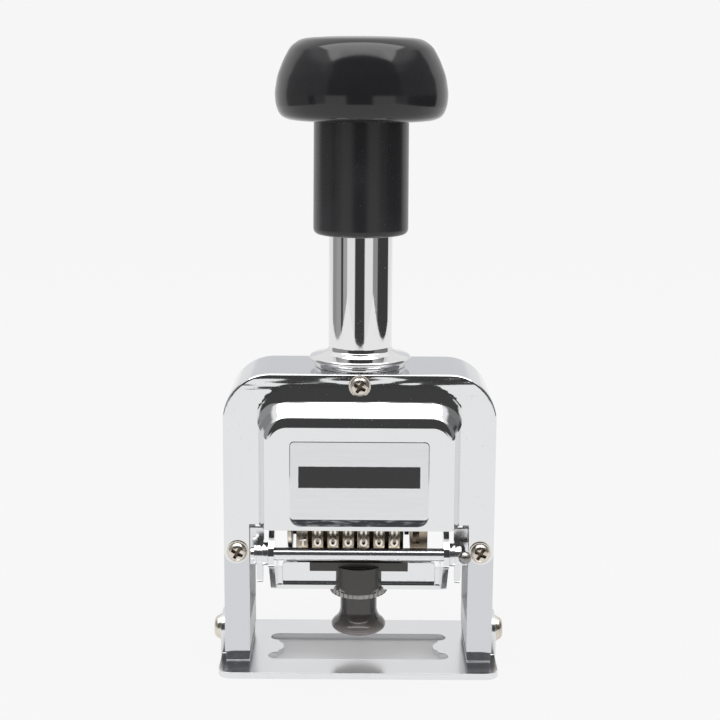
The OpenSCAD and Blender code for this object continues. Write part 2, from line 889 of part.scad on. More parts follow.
// Bracket right of the wheels, with a window for the setting of the repeat selector
module selector_bracket() {
    color([0.50, 0.44, 0.36])
    difference() {
        union() {
            box3([selector_x[0], selector_y[0], selector_z[0]],
                 [selector_x[1], selector_y[0] + selector_t, selector_z[1]]);
            box3([yoke_right[1], selector_y[0], selector_z[0]],
                 [yoke_right[1] + selector_t, selector_y[1], selector_z[1]]);
        }
        box3([selector_window_x[0], selector_y[0] - 1, selector_window_z[0]],
             [selector_window_x[1], selector_y[0] + 1, selector_window_z[1]]);
    }
}

module repeat_selector() {
    notch_y = selector_disc_r + selector_notch_d / 5;
    color([0.64, 0.60, 0.52])
    difference() {
        xcyl(2 * selector_disc_r, selector_disc_x[0], selector_disc_x[1], 0, axle_z);
        xcyl(axle_d + 2 * run_gap, selector_disc_x[0] - 1, selector_disc_x[1] + 1, 0, axle_z);
        for (i = [0 : selector_notches - 1])
            translate([0, 0, axle_z])
                rotate([360 / selector_notches * i, 0, 0])
                    xcyl(selector_notch_d, selector_disc_x[0] - 1, selector_disc_x[1] + 1, notch_y, 0);
    }
}

// Place of the drive pin in the arm's own frame, about the cross rod, after a share t of the stroke
function pin_path(t) =
    let (a = pad_swing * t, y = drive_pin_y - pivot_y, z = drive_pin_z - pivot_z - stroke * t)
        [y * cos(a) - z * sin(a), y * sin(a) + z * cos(a)];

function pin_side(t) =
    let (d = pin_path(t + 0.001) - pin_path(t - 0.001), n = norm(d))
        [d[1], -d[0]] / n;

function heading(v) = atan2(v[1], v[0]);

// Cam slot: the pin's path in the arm, widened by the pin on its outer side and round at its tip
module cam_slot() {
    r = pin_d / 2 + slot_gap;
    steps = 32;
    cap = 8;
    round_tip = arc(pin_path(0), r, heading(pin_side(1)), heading(pin_side(0)), cap);
    polygon(concat(
        [for (i = [0 : steps]) let (t = i / steps) pin_path(t) + r * pin_side(t)],
        [for (i = [1 : cap - 1]) round_tip[i]]
    ));
}

// Outline of a flat bar with round ends from p to q
function bar_points(p, q, r) =
    let (a = heading(q - p), n = 12)
        concat(arc(q, r, a - 90, a + 90, n), arc(p, r, a + 90, a + 270, n));

// One arm: a lobe round the cam slot, and a leg that reaches back under the wheels
module carrier_arm() {
    shelf_at = [tray_y[1] - pivot_y - arm_shelf_in, shelf_z[0] - pivot_z + arm_shelf_in];
    translate([0, pivot_y, pivot_z])
    difference() {
        yz(arm_x[0], arm_x[1]) {
            polygon(bar_points([0, 0], pin_path(0.5), arm_neck_r));
            polygon(bar_points(0.9 * pin_path(0.5), 0.97 * pin_path(0), arm_lobe_r));
            polygon(bar_points([0, 0], arm_knee, arm_leg_r[0]));
            polygon(bar_points(0.97 * arm_knee, shelf_at, arm_leg_r[1]));
        }
        xcyl(pivot_d + 2 * run_gap, arm_x[0] - 1, arm_x[1] + 1, 0, 0);
        yz(arm_x[0] - 1, arm_x[1] + 1) cam_slot();
    }
}

module pad_carrier() {
    color([0.80, 0.80, 0.82]) {
        both_sides() carrier_arm();
        difference() {
            translate([0, 0, shelf_z[0]])
                linear_extrude(shelf_z[1] - shelf_z[0])
                    round_rect([-arm_x[1], tray_y[0]], [arm_x[1], tray_y[1] + shelf_corner_r], shelf_corner_r);
            box3([-arm_x[1] - 1, tray_y[1] - slot_gap, shelf_z[0] - 1],
                 [arm_x[1] + 1, tray_y[1] + 2 * shelf_corner_r, shelf_z[1] + 1]);
            translate([0, handle_y, shelf_z[0] - 1])
                cylinder(d = handle_head_d, h = 4, $fn = fine);
        }
        both_sides()
            box3([box_x + slot_gap, tray_y[0] + shelf_corner_r / 4, shelf_z[0]],
                 [box_x + slot_gap + ear_wall_t, tray_y[0] + shelf_corner_r, box_z[1] - box_wall]);
    }
}

module ink_box() {
    color([0.82, 0.82, 0.84])
    difference() {
        union() {
            box3([-box_x, tray_y[0], box_z[0]], [box_x, tray_y[1], box_z[1]]);
            xz(tray_y[0], tray_y[0] + front_wall_t)
                round_rect([-box_x, box_floor], [box_x, front_wall_top], front_wall_r);
        }
        box3([-box_x + box_wall, tray_y[0] + front_wall_t, box_floor],
             [box_x - box_wall, tray_y[1] - box_wall, box_z[1] + 1]);
        box3([-box_x - 1, tray_y[0] - 1, box_z[0] - 1],
             [box_x + 1, tray_y[0] + box_rebate[0], box_z[0] + box_rebate[1]]);
        translate([0, handle_y, box_z[0] - 1])
            cylinder(d = handle_screw_d + 2 * seat_gap, h = box_floor - box_z[0] + 2, $fn = fine);
    }
}

module ink_pad() {
    color([0.10, 0.10, 0.14])
    difference() {
        box3([-box_x + box_wall + felt_gap, tray_y[0] + front_wall_t + felt_gap, box_floor],
             [box_x - box_wall - felt_gap, tray_y[1] - box_wall - felt_gap, felt_top]);
        translate([0, handle_y, box_floor - 1])
            cylinder(d = handle_head_d + 2 * slot_gap, h = handle_head_t + slot_gap + 1, $fn = fine);
    }
}

// T-shaped clip in front of the ink box, with the column that the handle hangs from
module handle_bracket() {
    foot = nut_ring_z[1];
    color([0.30, 0.30, 0.31])
    difference() {
        union() {
            box3([-bracket_x, tray_y[0] - bracket_t, bracket_z[0]], [bracket_x, tray_y[0], bracket_z[1]]);
            difference() {
                union() {
                    translate([0, column_y, foot])
                        cylinder(r = column_r, h = box_z[1] - foot, $fn = fine);
                    translate([0, handle_y, foot])
                        cylinder(r1 = column_foot_r, r2 = column_r, h = column_foot_h, $fn = fine);
                }
                box3([-box_x, tray_y[0], shelf_z[0]], [box_x, tray_y[1], bracket_z[1]]);
            }
        }
        translate([0, handle_y, foot - 1])
            cylinder(d = handle_screw_d + 2 * seat_gap, h = 4, $fn = fine);
    }
}

module handle_screw() {
    color([0.70, 0.70, 0.70]) {
        translate([0, handle_y, nut_ring_z[0] - grip_depth])
            cylinder(d = handle_screw_d, h = box_floor - nut_ring_z[0] + grip_depth, $fn = fine);
        translate([0, handle_y, box_floor])
            cylinder(d = handle_head_d, h = handle_head_t, $fn = fine);
    }
}

// Serrated nut on the handle's screw
module knurled_nut() {
    color([0.62, 0.61, 0.60])
    translate([0, handle_y, nut_ring_z[0]])
    difference() {
        linear_extrude(nut_ring_z[1] - nut_ring_z[0] - slot_gap)
            polygon([
                for (i = [0 : 2 * nut_ring_teeth - 1])
                    let (a = 180 / nut_ring_teeth * i, r = nut_ring_d / 2 - (i % 2) * nut_tooth_h)
                        r * [cos(a), sin(a)]
            ]);
        translate([0, 0, -1]) cylinder(d = handle_screw_d + 2 * run_gap, h = 4, $fn = fine);
    }
}

// Trumpet-shaped grip with a domed foot
module pad_knob() {
    top = nut_ring_z[0];
    bore = handle_screw_d / 2 + run_gap;
    flare = [flare_d / 2, knob_low + knob_flare_z];
    neck = [neck_d / 2, knob_low + knob_neck_z];
    color([0.22, 0.22, 0.23])
    translate([0, handle_y, 0])
    rotate_extrude($fn = 2 * fine)
    polygon(concat(
        [[0, knob_low]],
        bezier([flare_d / 5, knob_low], [flare_d / 3, knob_low], flare - [0.4, 1.3], flare - [0, 0.2], 8),
        bezier(flare, flare + [-0.7, 1.4], neck + [0.2, -1.2], neck, 10),
        [[neck[0], top], [bore, top], [bore, top - grip_depth - 0.2], [0, top - grip_depth - 0.2]]));
}

module lock_button() {
    color([0.70, 0.70, 0.72]) {
        ycyl(lock_d, lock_y[0] - lock_d / 2, lock_y[1], lock_x, lock_z);
        translate([lock_x, lock_y[0], lock_z])
            rotate([90, 0, 0])
                rotate_extrude($fn = fine)
                    polygon(concat([[0, 0]], arc([0, 0], lock_head_r, 0, 90, 8)));
    }
}

main_frame();
front_cover();
rear_cover();
label_plate();
base_plate();
foot_spacers();
guide_tube();
tube_nut();
guide_bracket();
cross_rod();
rod_hangers();
rod_washers();
rod_clip();
front_cover_screws();
rear_cover_screws();
base_screws();
palm_knob();
knob_sleeve();
plunger_rod();
return_spring();
rod_nut();
wheel_yoke();
wheel_axle();
axle_clip();
drive_pins();
detent_comb();
selector_bracket();
repeat_selector();
number_wheel_1();
number_wheel_2();
number_wheel_3();
number_wheel_4();
number_wheel_5();
number_wheel_6();
number_wheel_7();
pawl_frame();
pawl_comb();
pad_carrier();
ink_box();
ink_pad();
handle_bracket();
handle_screw();
knurled_nut();
pad_knob();
lock_button();
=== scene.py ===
"""Covers, number wheels, palm knob and ink pad of a numbering machine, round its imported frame."""

import json
import math

import bmesh
import bpy
from mathutils import Matrix, Vector


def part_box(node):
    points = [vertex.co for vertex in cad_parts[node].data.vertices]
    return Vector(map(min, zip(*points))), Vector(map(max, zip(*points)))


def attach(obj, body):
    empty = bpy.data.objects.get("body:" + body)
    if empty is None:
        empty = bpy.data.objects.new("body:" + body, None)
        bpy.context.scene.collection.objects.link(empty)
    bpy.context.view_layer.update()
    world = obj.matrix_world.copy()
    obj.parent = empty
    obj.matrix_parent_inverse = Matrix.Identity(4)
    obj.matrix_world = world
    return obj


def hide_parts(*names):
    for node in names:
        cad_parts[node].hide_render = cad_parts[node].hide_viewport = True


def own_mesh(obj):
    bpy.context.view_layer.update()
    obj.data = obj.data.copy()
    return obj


bl_info = {
    "name": "Numbering Machine",
    "version": (1, 0, 0),
    "blender": (4, 5, 0),
    "location": "View3D > Sidebar > Numbering",
    "description": "Models and finishes a numbering machine round its packed frame",
    "category": "Object",
}

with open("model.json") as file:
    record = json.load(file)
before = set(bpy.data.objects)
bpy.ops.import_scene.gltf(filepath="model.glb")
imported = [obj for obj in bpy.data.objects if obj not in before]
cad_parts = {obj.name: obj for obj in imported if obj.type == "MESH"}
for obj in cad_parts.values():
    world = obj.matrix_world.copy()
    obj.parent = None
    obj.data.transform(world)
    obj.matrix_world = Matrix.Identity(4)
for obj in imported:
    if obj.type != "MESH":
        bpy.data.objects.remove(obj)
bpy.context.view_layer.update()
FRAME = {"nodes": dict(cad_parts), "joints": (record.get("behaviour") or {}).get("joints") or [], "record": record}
NODES = FRAME["nodes"]
MM = 0.001


# -------------------------------- sizes, in millimetres

# Frame: how far its inner faces reach, and the underside of its beam.
LEG_INSIDE = 30.3
FLANGE_INSIDE = 9.7
BEAM_UNDERSIDE = 58
SPACER_FOOT = 2.5

# Covers: half width, top and corner radius of the rim, of the bulge and of its face.
RIM = (31.75, 71.7, 11.0)
BULGE = (24.6, 69.3, 9.0)
FACE = (20.6, 60.0, 3.8)
COVER_FRONT = 11.8
COVER_BACK = 11.02
FACE_FRONT = 16.8
SHEET = 0.8
SHEET_EDGE = 0.22
BULGE_FOOT = 35.8
STRIP_INNER = 25.8
STRIP_FOOT = 26.2
RIM_ROLL = 0.55
RIM_LEAN = 0.045
SIDE_RADII = (1.6, 1.6)
TOP_RADII = (6.9, 3.9)

# Wedge and label: height and place of the slope's two ends, half widths, margins.
WEDGE_FOOT = (38.9, -18.2)
WEDGE_TOP = (57.0, -16.86)
WEDGE_HALF = 16.1
WEDGE_LOW = 36.8
LABEL_HALF = 15.9
LABEL_MARGIN = 0.2
LABEL_CORNER = 0.9

# Turned parts: points are radius and height.
KNOB_FOOT = 129.0
KNOB_BORE = (7.9, 139.6)
KNOB_PROFILE = [
    (0, 148.2), (7.0, 148.1), (12.5, 147.75), (14.2, 147.35), (16.3, 145.9), (18.0, 142.8),
    (19.4, 139.2), (20.0, 135.3), (19.75, 132.6), (19.1, 130.9), (18.4, 130.0), (17.0, 129.3),
    (14.5, KNOB_FOOT), (11.2, KNOB_FOOT),
]
SLEEVE_R = 11.1
SLEEVE_BORE = 7.6
SLEEVE_FOOT = 102.9
TUBE_R = 7.5
TUBE_BORE = 6.2
TUBE_FOOT = 64.0
TUBE_TOP = 114.0
SPRING_SEAT = 71.97
ROD_BORE = 3.56
COLLAR_PROFILE = [
    (TUBE_R, 71.7), (10.6, 71.7), (10.8, 71.9), (10.8, 72.7), (10.5, 73.0), (10.5, 73.2),
    (11.7, 73.2), (12.0, 73.45), (12.0, 73.9), (11.7, 74.2), (8.9, 74.9), (7.8, 75.6),
    (TUBE_R, 76.4),
]
GRIP_Y = -3.0
GRIP_UNDERSIDE = 7.0
GRIP_TOP = 16.7
GRIP_PROFILE = [
    (0, 6.5), (3.4, 6.6), (5.6, 7.1), (6.5, 8.0), (6.6, 8.8), (6.1, 9.5), (5.1, 10.4), (4.6, 11.4),
    (4.4, 12.4), (4.4, GRIP_TOP), (1.56, GRIP_TOP), (1.56, 13.5), (0, 13.5),
]
TEETH = 36
TOOTH = 0.4
TEETH_R = 6.92
TEETH_TOP = 18.25
TEETH_SHOULDER = 0.05

# Screws: places of their middles on the face that they sit in, and the recess of a head.
COVER_SCREWS = ((0, 69.0), (-28.5, 29.2), (28.5, 29.2))
BASE_SCREWS = ((0, 6.2),)
RECESS_R = 1.95
RECESS = (0.1, 1.0)
RECESS_FLOOR = 0.8

# Numbering head; its angles are about the axle.
AXLE_Z = 34.0
WHEEL_PITCH = 3.63
WHEEL_BORE = 2.06
STACK_LEFT = -14.8
RING_W = 2.8
RING_R = 9.7
RATCHET_RADII = (7.4, 8.6)
RATCHET_W = 0.78
DIGIT_R = 10.2
DIGIT_WALL = 0.46
DIGIT_TALL = 1.28
DIGIT_STEP = math.radians(36)
FIRST_DIGIT = math.radians(169.2)
SHOWN = [4, 8, 8, 8, 8, 8, 8]
SELECTOR_FACE = 13.58
DRUM_PROFILE = [(2.1, 0), (6.8, 0), (6.9, 0.1), (6.9, 0.65), (6.8, 0.75), (2.1, 0.75)]

# Felt: its soft edges, and how far its crown stands over its corners.
FELT_EDGE = 0.35
FELT_CROWN = 0.30

# Angle from which an edge is shaded sharp.
SHARP = math.radians(35)


# -------------------------------- settings


def tone_setting(name, description, default):
    return bpy.props.FloatVectorProperty(
        name=name, description=description, default=default, min=0, max=1, subtype="COLOR"
    )


def share_setting(name, description, default):
    return bpy.props.FloatProperty(
        name=name, description=description, default=default, min=0, max=1, subtype="FACTOR"
    )


class PlatingSettings(bpy.types.PropertyGroup):
    """Bright plating of the frame, covers, base and tube."""

    tone: tone_setting("Plating", "Colour of the bright plating", (0.83, 0.835, 0.845))
    roughness: share_setting("Roughness", "Blur of the reflections in the plating", 0.055)
    ripple: share_setting("Ripple", "Slow unevenness of pressed and polished sheet", 0.10)


class MouldingSettings(bpy.types.PropertyGroup):
    """Black and smoked plastic mouldings."""

    knob: tone_setting("Knob", "Colour of the palm knob and its sleeve", (0.014, 0.014, 0.0155))
    grip: tone_setting("Grip", "Colour of the smoked grip under the pad", (0.050, 0.045, 0.042))
    gloss: share_setting("Roughness", "Roughness of the glossy mouldings", 0.24)


class HeadSettings(bpy.types.PropertyGroup):
    """Numbering head."""

    bronze: tone_setting("Wheel metal", "Colour of the wheels between digits", (0.42, 0.355, 0.275))
    polished: tone_setting("Digit faces", "Colour of the digits' worn faces", (0.88, 0.84, 0.77))


class StageSettings(bpy.types.PropertyGroup):
    """Floor, light and camera."""

    paper: share_setting("Background", "Tone of the floor and the background", 0.922)
    distance: bpy.props.FloatProperty(
        name="Distance", description="From the camera to the axis of the machine, along the floor",
        default=0.3682, min=0.1, unit="LENGTH",
    )
    height: bpy.props.FloatProperty(
        name="Height", description="Height of the camera over the table",
        default=0.1431, min=0, unit="LENGTH",
    )
    tilt: bpy.props.FloatProperty(
        name="Tilt", description="How far the camera looks down",
        default=math.radians(10.8), subtype="ANGLE",
    )
    roll: bpy.props.FloatProperty(
        name="Roll", description="Turn of the camera about its own axis",
        default=math.radians(0.35), subtype="ANGLE",
    )
    lens: bpy.props.FloatProperty(
        name="Lens", description="Focal length in millimetres on a 36 mm sensor",
        default=79, min=10,
    )


class MachineSettings(bpy.types.PropertyGroup):
    """All settings of the numbering machine's looks."""

    plating: bpy.props.PointerProperty(type=PlatingSettings)
    moulding: bpy.props.PointerProperty(type=MouldingSettings)
    head: bpy.props.PointerProperty(type=HeadSettings)
    stage: bpy.props.PointerProperty(type=StageSettings)


# -------------------------------- shader maths


class Field:
    """A socket in shader maths: an expression on fields adds its Math nodes."""

    def __init__(self, tree, socket):
        self.tree = tree
        self.socket = socket

    def maths(self, operation, *values, clamp=False):
        node = self.tree.nodes.new("ShaderNodeMath")
        node.operation = operation
        node.use_clamp = clamp
        for entry, value in zip(node.inputs, values):
            feed(self.tree, entry, value)
        return Field(self.tree, node.outputs[0])

    def __add__(self, other):
        return self.maths("ADD", self, other)

    def __radd__(self, other):
        return self.maths("ADD", other, self)

    def __sub__(self, other):
        return self.maths("SUBTRACT", self, other)

    def __rsub__(self, other):
        return self.maths("SUBTRACT", other, self)

    def __mul__(self, other):
        return self.maths("MULTIPLY", self, other)

    def __rmul__(self, other):
        return self.maths("MULTIPLY", other, self)

    def __pow__(self, other):
        return self.maths("POWER", self, other)

    def absolute(self):
        return self.maths("ABSOLUTE", self)

    def clamped(self):
        return self.maths("ADD", self, 0.0, clamp=True)

    def above(self, low, high):
        """0 below low, 1 above high, with a soft step between."""
        node = self.tree.nodes.new("ShaderNodeMapRange")
        node.interpolation_type = "SMOOTHSTEP"
        for entry, value in zip(node.inputs, (self, low, high, 0.0, 1.0)):
            feed(self.tree, entry, value)
        return Field(self.tree, node.outputs[0])


def feed(tree, entry, value):
    """Links a field to a socket, or sets the socket: a lone number fills all of its parts."""
    if isinstance(value, Field):
        tree.links.new(value.socket, entry)
        return
    parts = len(entry.default_value) if hasattr(entry.default_value, "__len__") else 0
    if parts and not hasattr(value, "__len__"):
        value = [value] * parts
    elif parts == 4 and len(value) == 3:
        value = (*value, 1.0)
    entry.default_value = value


class Nodes:
    """A node tree that is filled by name: node() takes a type and its sockets, _0 for the first."""

    MIX_INPUTS = (0, 6, 7)
    MIX_RESULT = 2
    OBJECT_PLACE = 3

    def __init__(self, tree):
        self.tree = tree
        tree.nodes.clear()

    def node(self, kind, stops=None, output=0, **sockets):
        made = self.tree.nodes.new("ShaderNode" + kind)
        if stops:
            ramp = made.color_ramp
            while len(ramp.elements) < len(stops):
                ramp.elements.new(1.0)
            for element, (place, tone) in zip(ramp.elements, stops):
                element.position = place
                element.color = (tone, tone, tone, 1)
        for name, value in sockets.items():
            wanted = name.replace("_", " ")
            entry = next(
                (s for s in made.inputs if s.enabled and s.name == wanted), None
            ) or made.inputs[int(name[1:])]
            feed(self.tree, entry, value)
        return Field(self.tree, made.outputs[output] if made.outputs else None)

    def surface(self, colour, roughness, **more):
        return self.node("BsdfPrincipled", Base_Color=colour, Roughness=roughness, **more)

    def bump(self, height, strength, distance):
        return self.node("Bump", Strength=strength, Distance=distance, Height=height)

    def rays(self, *kinds):
        """For each kind of ray, 1 where it falls and 0 elsewhere."""
        outputs = self.node("LightPath").socket.node.outputs
        return [Field(self.tree, outputs[f"Is {kind} Ray"]) for kind in kinds]

    def mix_colour(self, factor, low, high):
        made = self.tree.nodes.new("ShaderNodeMix")
        made.data_type = "RGBA"
        for entry, value in zip(self.MIX_INPUTS, (factor, low, high)):
            feed(self.tree, made.inputs[entry], value)
        return Field(self.tree, made.outputs[self.MIX_RESULT])

    def noise(self, place, scale, detail=2.0, roughness=0.5):
        return self.node(
            "TexNoise", Vector=place, Scale=scale, Detail=detail, Roughness=roughness
        )

    def place(self, scale=(1, 1, 1), shift=(0, 0, 0)):
        """Object coordinates, stretched and shifted."""
        at = self.node("TexCoord", output=self.OBJECT_PLACE)
        return self.node("Mapping", Vector=at, Location=shift, Scale=scale)

    def parts(self, vector):
        """X, Y and Z of a vector."""
        first = self.node("SeparateXYZ", Vector=vector)
        return [Field(self.tree, entry) for entry in first.socket.node.outputs]


def finish(name, build):
    """The material of a name, made the first time it is asked for."""
    material = bpy.data.materials.get(name)
    if material is None:
        material = bpy.data.materials.new(name)
        material.use_nodes = True
        nodes = Nodes(material.node_tree)
        shader = build(nodes)
        nodes.node("OutputMaterial", Surface=shader)
    return material


def settings():
    return bpy.context.scene.numbering


# -------------------------------- finishes


PRESSED = (60 * MM, 64 * MM)
DUST = 0.25


def plated(tint=(1, 1, 1), roughness=1.0, ripple=1.0, waves=0.0):
    """Bright plate: slow ripples, waves above the heights in PRESSED, a fine haze and some dust."""

    def build(nodes):
        plating = settings().plating
        tone = [a * b for a, b in zip(plating.tone, tint)]
        place = nodes.place()
        haze = nodes.noise(place, 95.0, 4.0, 0.6)
        specks = nodes.noise(place, 1900.0, 2.0).above(0.70, 0.76)
        slow = nodes.noise(nodes.place(shift=(3, 1, 2)), 62.0, 1.0, 0.4)
        fine = nodes.noise(place, 900.0, 2.0)
        height = slow * (plating.ripple * ripple) + fine * 0.004
        if waves:
            pressed = nodes.parts(place)[2].above(*PRESSED)
            height = height + nodes.noise(nodes.place((0.16, 1, 1)), 300.0, 2.0) * pressed * waves
        rough = plating.roughness * roughness * (0.7 + 0.6 * haze) + DUST * specks
        bump = nodes.bump(height, 0.5, 0.0004)
        colour = nodes.mix_colour(haze * 0.5 + specks * 0.3, tone, [0.93 * c for c in tone])
        return nodes.surface(colour, rough, Metallic=1.0, Normal=bump)

    return build


def machined(tone, dark, roughness):
    """Turned, cut or rolled metal with a fine grain and darker patches."""

    def build(nodes):
        place = nodes.place()
        stain = nodes.noise(place, 240.0, 4.0, 0.6).above(0.35, 0.75)
        marks = nodes.noise(place, 700.0, 3.0)
        bump = nodes.bump(marks, 0.35, 0.00005)
        colour = nodes.mix_colour(stain * 0.6, tone, dark)
        rough = roughness * (0.75 + 0.5 * marks)
        return nodes.surface(colour, rough, Metallic=1.0, Normal=bump)

    return build


def moulded(tone, roughness, scuffs=0.5):
    """Glossy moulding with faint sink marks, rubbed patches and hair scratches."""

    def build(nodes):
        place = nodes.place()
        rubbed = nodes.noise(place, 55.0, 3.0).above(0.48, 0.72)
        hairs = nodes.noise(nodes.place((1, 0.12, 1)), 1300.0, 2.0).above(0.66, 0.74)
        sink = nodes.noise(place, 45.0, 1.0)
        pores = nodes.noise(place, 2600.0, 2.0)
        bump = nodes.bump(sink * 0.12 + pores * 0.006, 0.4, 0.0003)
        colour = nodes.mix_colour(rubbed * 0.5 + hairs * 0.4, tone, [1.5 * c + 0.004 for c in tone])
        worn = roughness + scuffs * (0.10 * rubbed + 0.12 * hairs)
        return nodes.surface(colour, worn, Normal=bump, IOR=1.5)

    return build


# Heights over which the grip's painted light fades from its foot up to its neck.
PAINTED_FOOT_LIGHT = (6.8 * MM, 11.5 * MM)


def smoked(nodes):
    """Smoked grip: dark neck, lighter towards its flared foot; the lighter foot is painted light against the shade
    under the machine.
    """
    tone = settings().moulding.grip
    height = nodes.parts(nodes.place())[2]
    # Painted light: the colour runs from dark at the neck to 4.6 times the grip's tone at the foot, against the
    # shade under the machine.
    low = 1 - height.above(*PAINTED_FOOT_LIGHT)
    swirl = nodes.noise(nodes.place((1, 1, 0.3)), 420.0, 2.0)
    dark, light = ([share * c for c in tone] for share in (0.55, 4.6))
    colour = nodes.mix_colour(low * 0.85 + swirl * 0.12, dark, light)
    bump = nodes.bump(swirl * 0.2, 0.3, 0.0002)
    rough = 0.12 + 0.08 * swirl
    return nodes.surface(
        colour, rough, Normal=bump, IOR=1.5, Coat_Weight=0.4, Coat_Roughness=0.05
    )


def engraved(nodes):
    """Wheel metal: dark between the digits, worn bright on their faces; painted shade on the sides and ratchet
    between the wheels.
    """
    head = settings().head
    _, y, z = nodes.parts(nodes.place(shift=(0, 0, -AXLE_Z * MM)))
    radius = (y * y + z * z) ** 0.5
    worn = radius.above((RING_R + 0.08) * MM, (DIGIT_R - 0.15) * MM)
    stain = nodes.noise(nodes.place(), 520.0, 4.0, 0.6).above(0.3, 0.7)
    # Painted shade: below the rim, the wheel's sides and ratchet are darkened to a sixth of the wheel metal,
    # standing in for the shade between the wheels.
    ring = radius.above((RING_R - 0.9) * MM, (RING_R - 0.4) * MM)
    ground = nodes.mix_colour(stain * 0.55, head.bronze, [0.4 * c for c in head.bronze])
    ground = nodes.mix_colour(1 - ring, ground, [0.16 * c for c in head.bronze])
    marks = nodes.noise(nodes.place((0.2, 1, 1)), 1500.0, 2.0)
    bump = nodes.bump(marks, 0.4, 0.00005)
    colour = nodes.mix_colour(worn, ground, head.polished)
    rough = 0.22 + 0.16 * stain + 0.3 * (1 - ring) - 0.08 * worn
    return nodes.surface(colour, rough, Metallic=1.0, Normal=bump)


def felted(nodes):
    """Inked felt: matted fibres over a soft, uneven face."""
    fibres = nodes.noise(nodes.place((1, 0.35, 1)), 2400.0, 5.0, 0.7)
    lumps = nodes.noise(nodes.place(), 380.0, 3.0)
    matted = fibres * 0.7 + lumps * 0.3
    colour = nodes.mix_colour(matted, (0.008, 0.008, 0.016), (0.055, 0.05, 0.085))
    bump = nodes.bump(fibres * 0.6 + lumps, 0.8, 0.0002)
    return nodes.surface(colour, 0.92, Normal=bump, Sheen_Weight=0.3, Sheen_Roughness=0.5)


def dark_leg_blocks(nodes):
    """Dark blocks between the legs and the base, with a fine grain."""
    grain = nodes.noise(nodes.place(), 1100.0, 4.0)
    colour = nodes.mix_colour(grain, (0.055, 0.058, 0.065), (0.15, 0.155, 0.165))
    bump = nodes.bump(grain, 0.5, 0.0001)
    return nodes.surface(colour, 0.45 + 0.2 * grain, Normal=bump)


def pale_lining_painted_light(nodes):
    """Dull inside of the bent frame, pale as painted light so that its faces in the channel's shade read light."""
    cloud = nodes.noise(nodes.place(), 160.0, 4.0, 0.6)
    colour = nodes.mix_colour(cloud, (0.80, 0.81, 0.82), (0.92, 0.92, 0.93))
    bump = nodes.bump(cloud, 0.3, 0.0001)
    return nodes.surface(colour, 0.55, Metallic=0.1, Normal=bump)


def bevel_painted_reflection(nodes):
    """Underside of the label's wedge: painted reflection, a dark plate with light streaks that stands in for the
    dark opening it mirrors.
    """
    reflected_streaks = nodes.noise(nodes.place((0.35, 1, 1.6)), 900.0, 3.0, 0.55).above(0.45, 0.8)
    colour = nodes.mix_colour(reflected_streaks, (0.045, 0.047, 0.055), (0.42, 0.42, 0.43))
    return nodes.surface(colour, 0.16 + 0.1 * reflected_streaks, Metallic=1.0)


BAND_HALF = (14.0 * MM, 2.5 * MM)
BAND_Z = 48.75 * MM
BAND_BLUR = 0.05 * MM


def labelled(nodes):
    """Silvered label stock with a plain black band, blank of any lettering."""
    place = nodes.place()
    x, _, z = nodes.parts(place)
    wobble = nodes.noise(place, 900.0, 2.0) * 0.00012 - 0.00006
    inside_x, inside_z = (
        1 - (away.absolute() + wobble).above(half - BAND_BLUR, half + BAND_BLUR)
        for away, half in zip((x, z - BAND_Z), BAND_HALF)
    )
    band = inside_x * inside_z
    grain = nodes.noise(nodes.place((0.08, 1, 1)), 1500.0, 2.0)
    ground = nodes.mix_colour(grain, (0.76, 0.765, 0.77), (0.83, 0.835, 0.84))
    colour = nodes.mix_colour(band, ground, (0.028, 0.027, 0.028))
    bump = nodes.bump(grain + band * 1.5, 0.2, 0.00003)
    rough = 0.42 + 0.1 * grain
    return nodes.surface(colour, rough, Metallic=0.35 * (1 - band), Normal=bump)


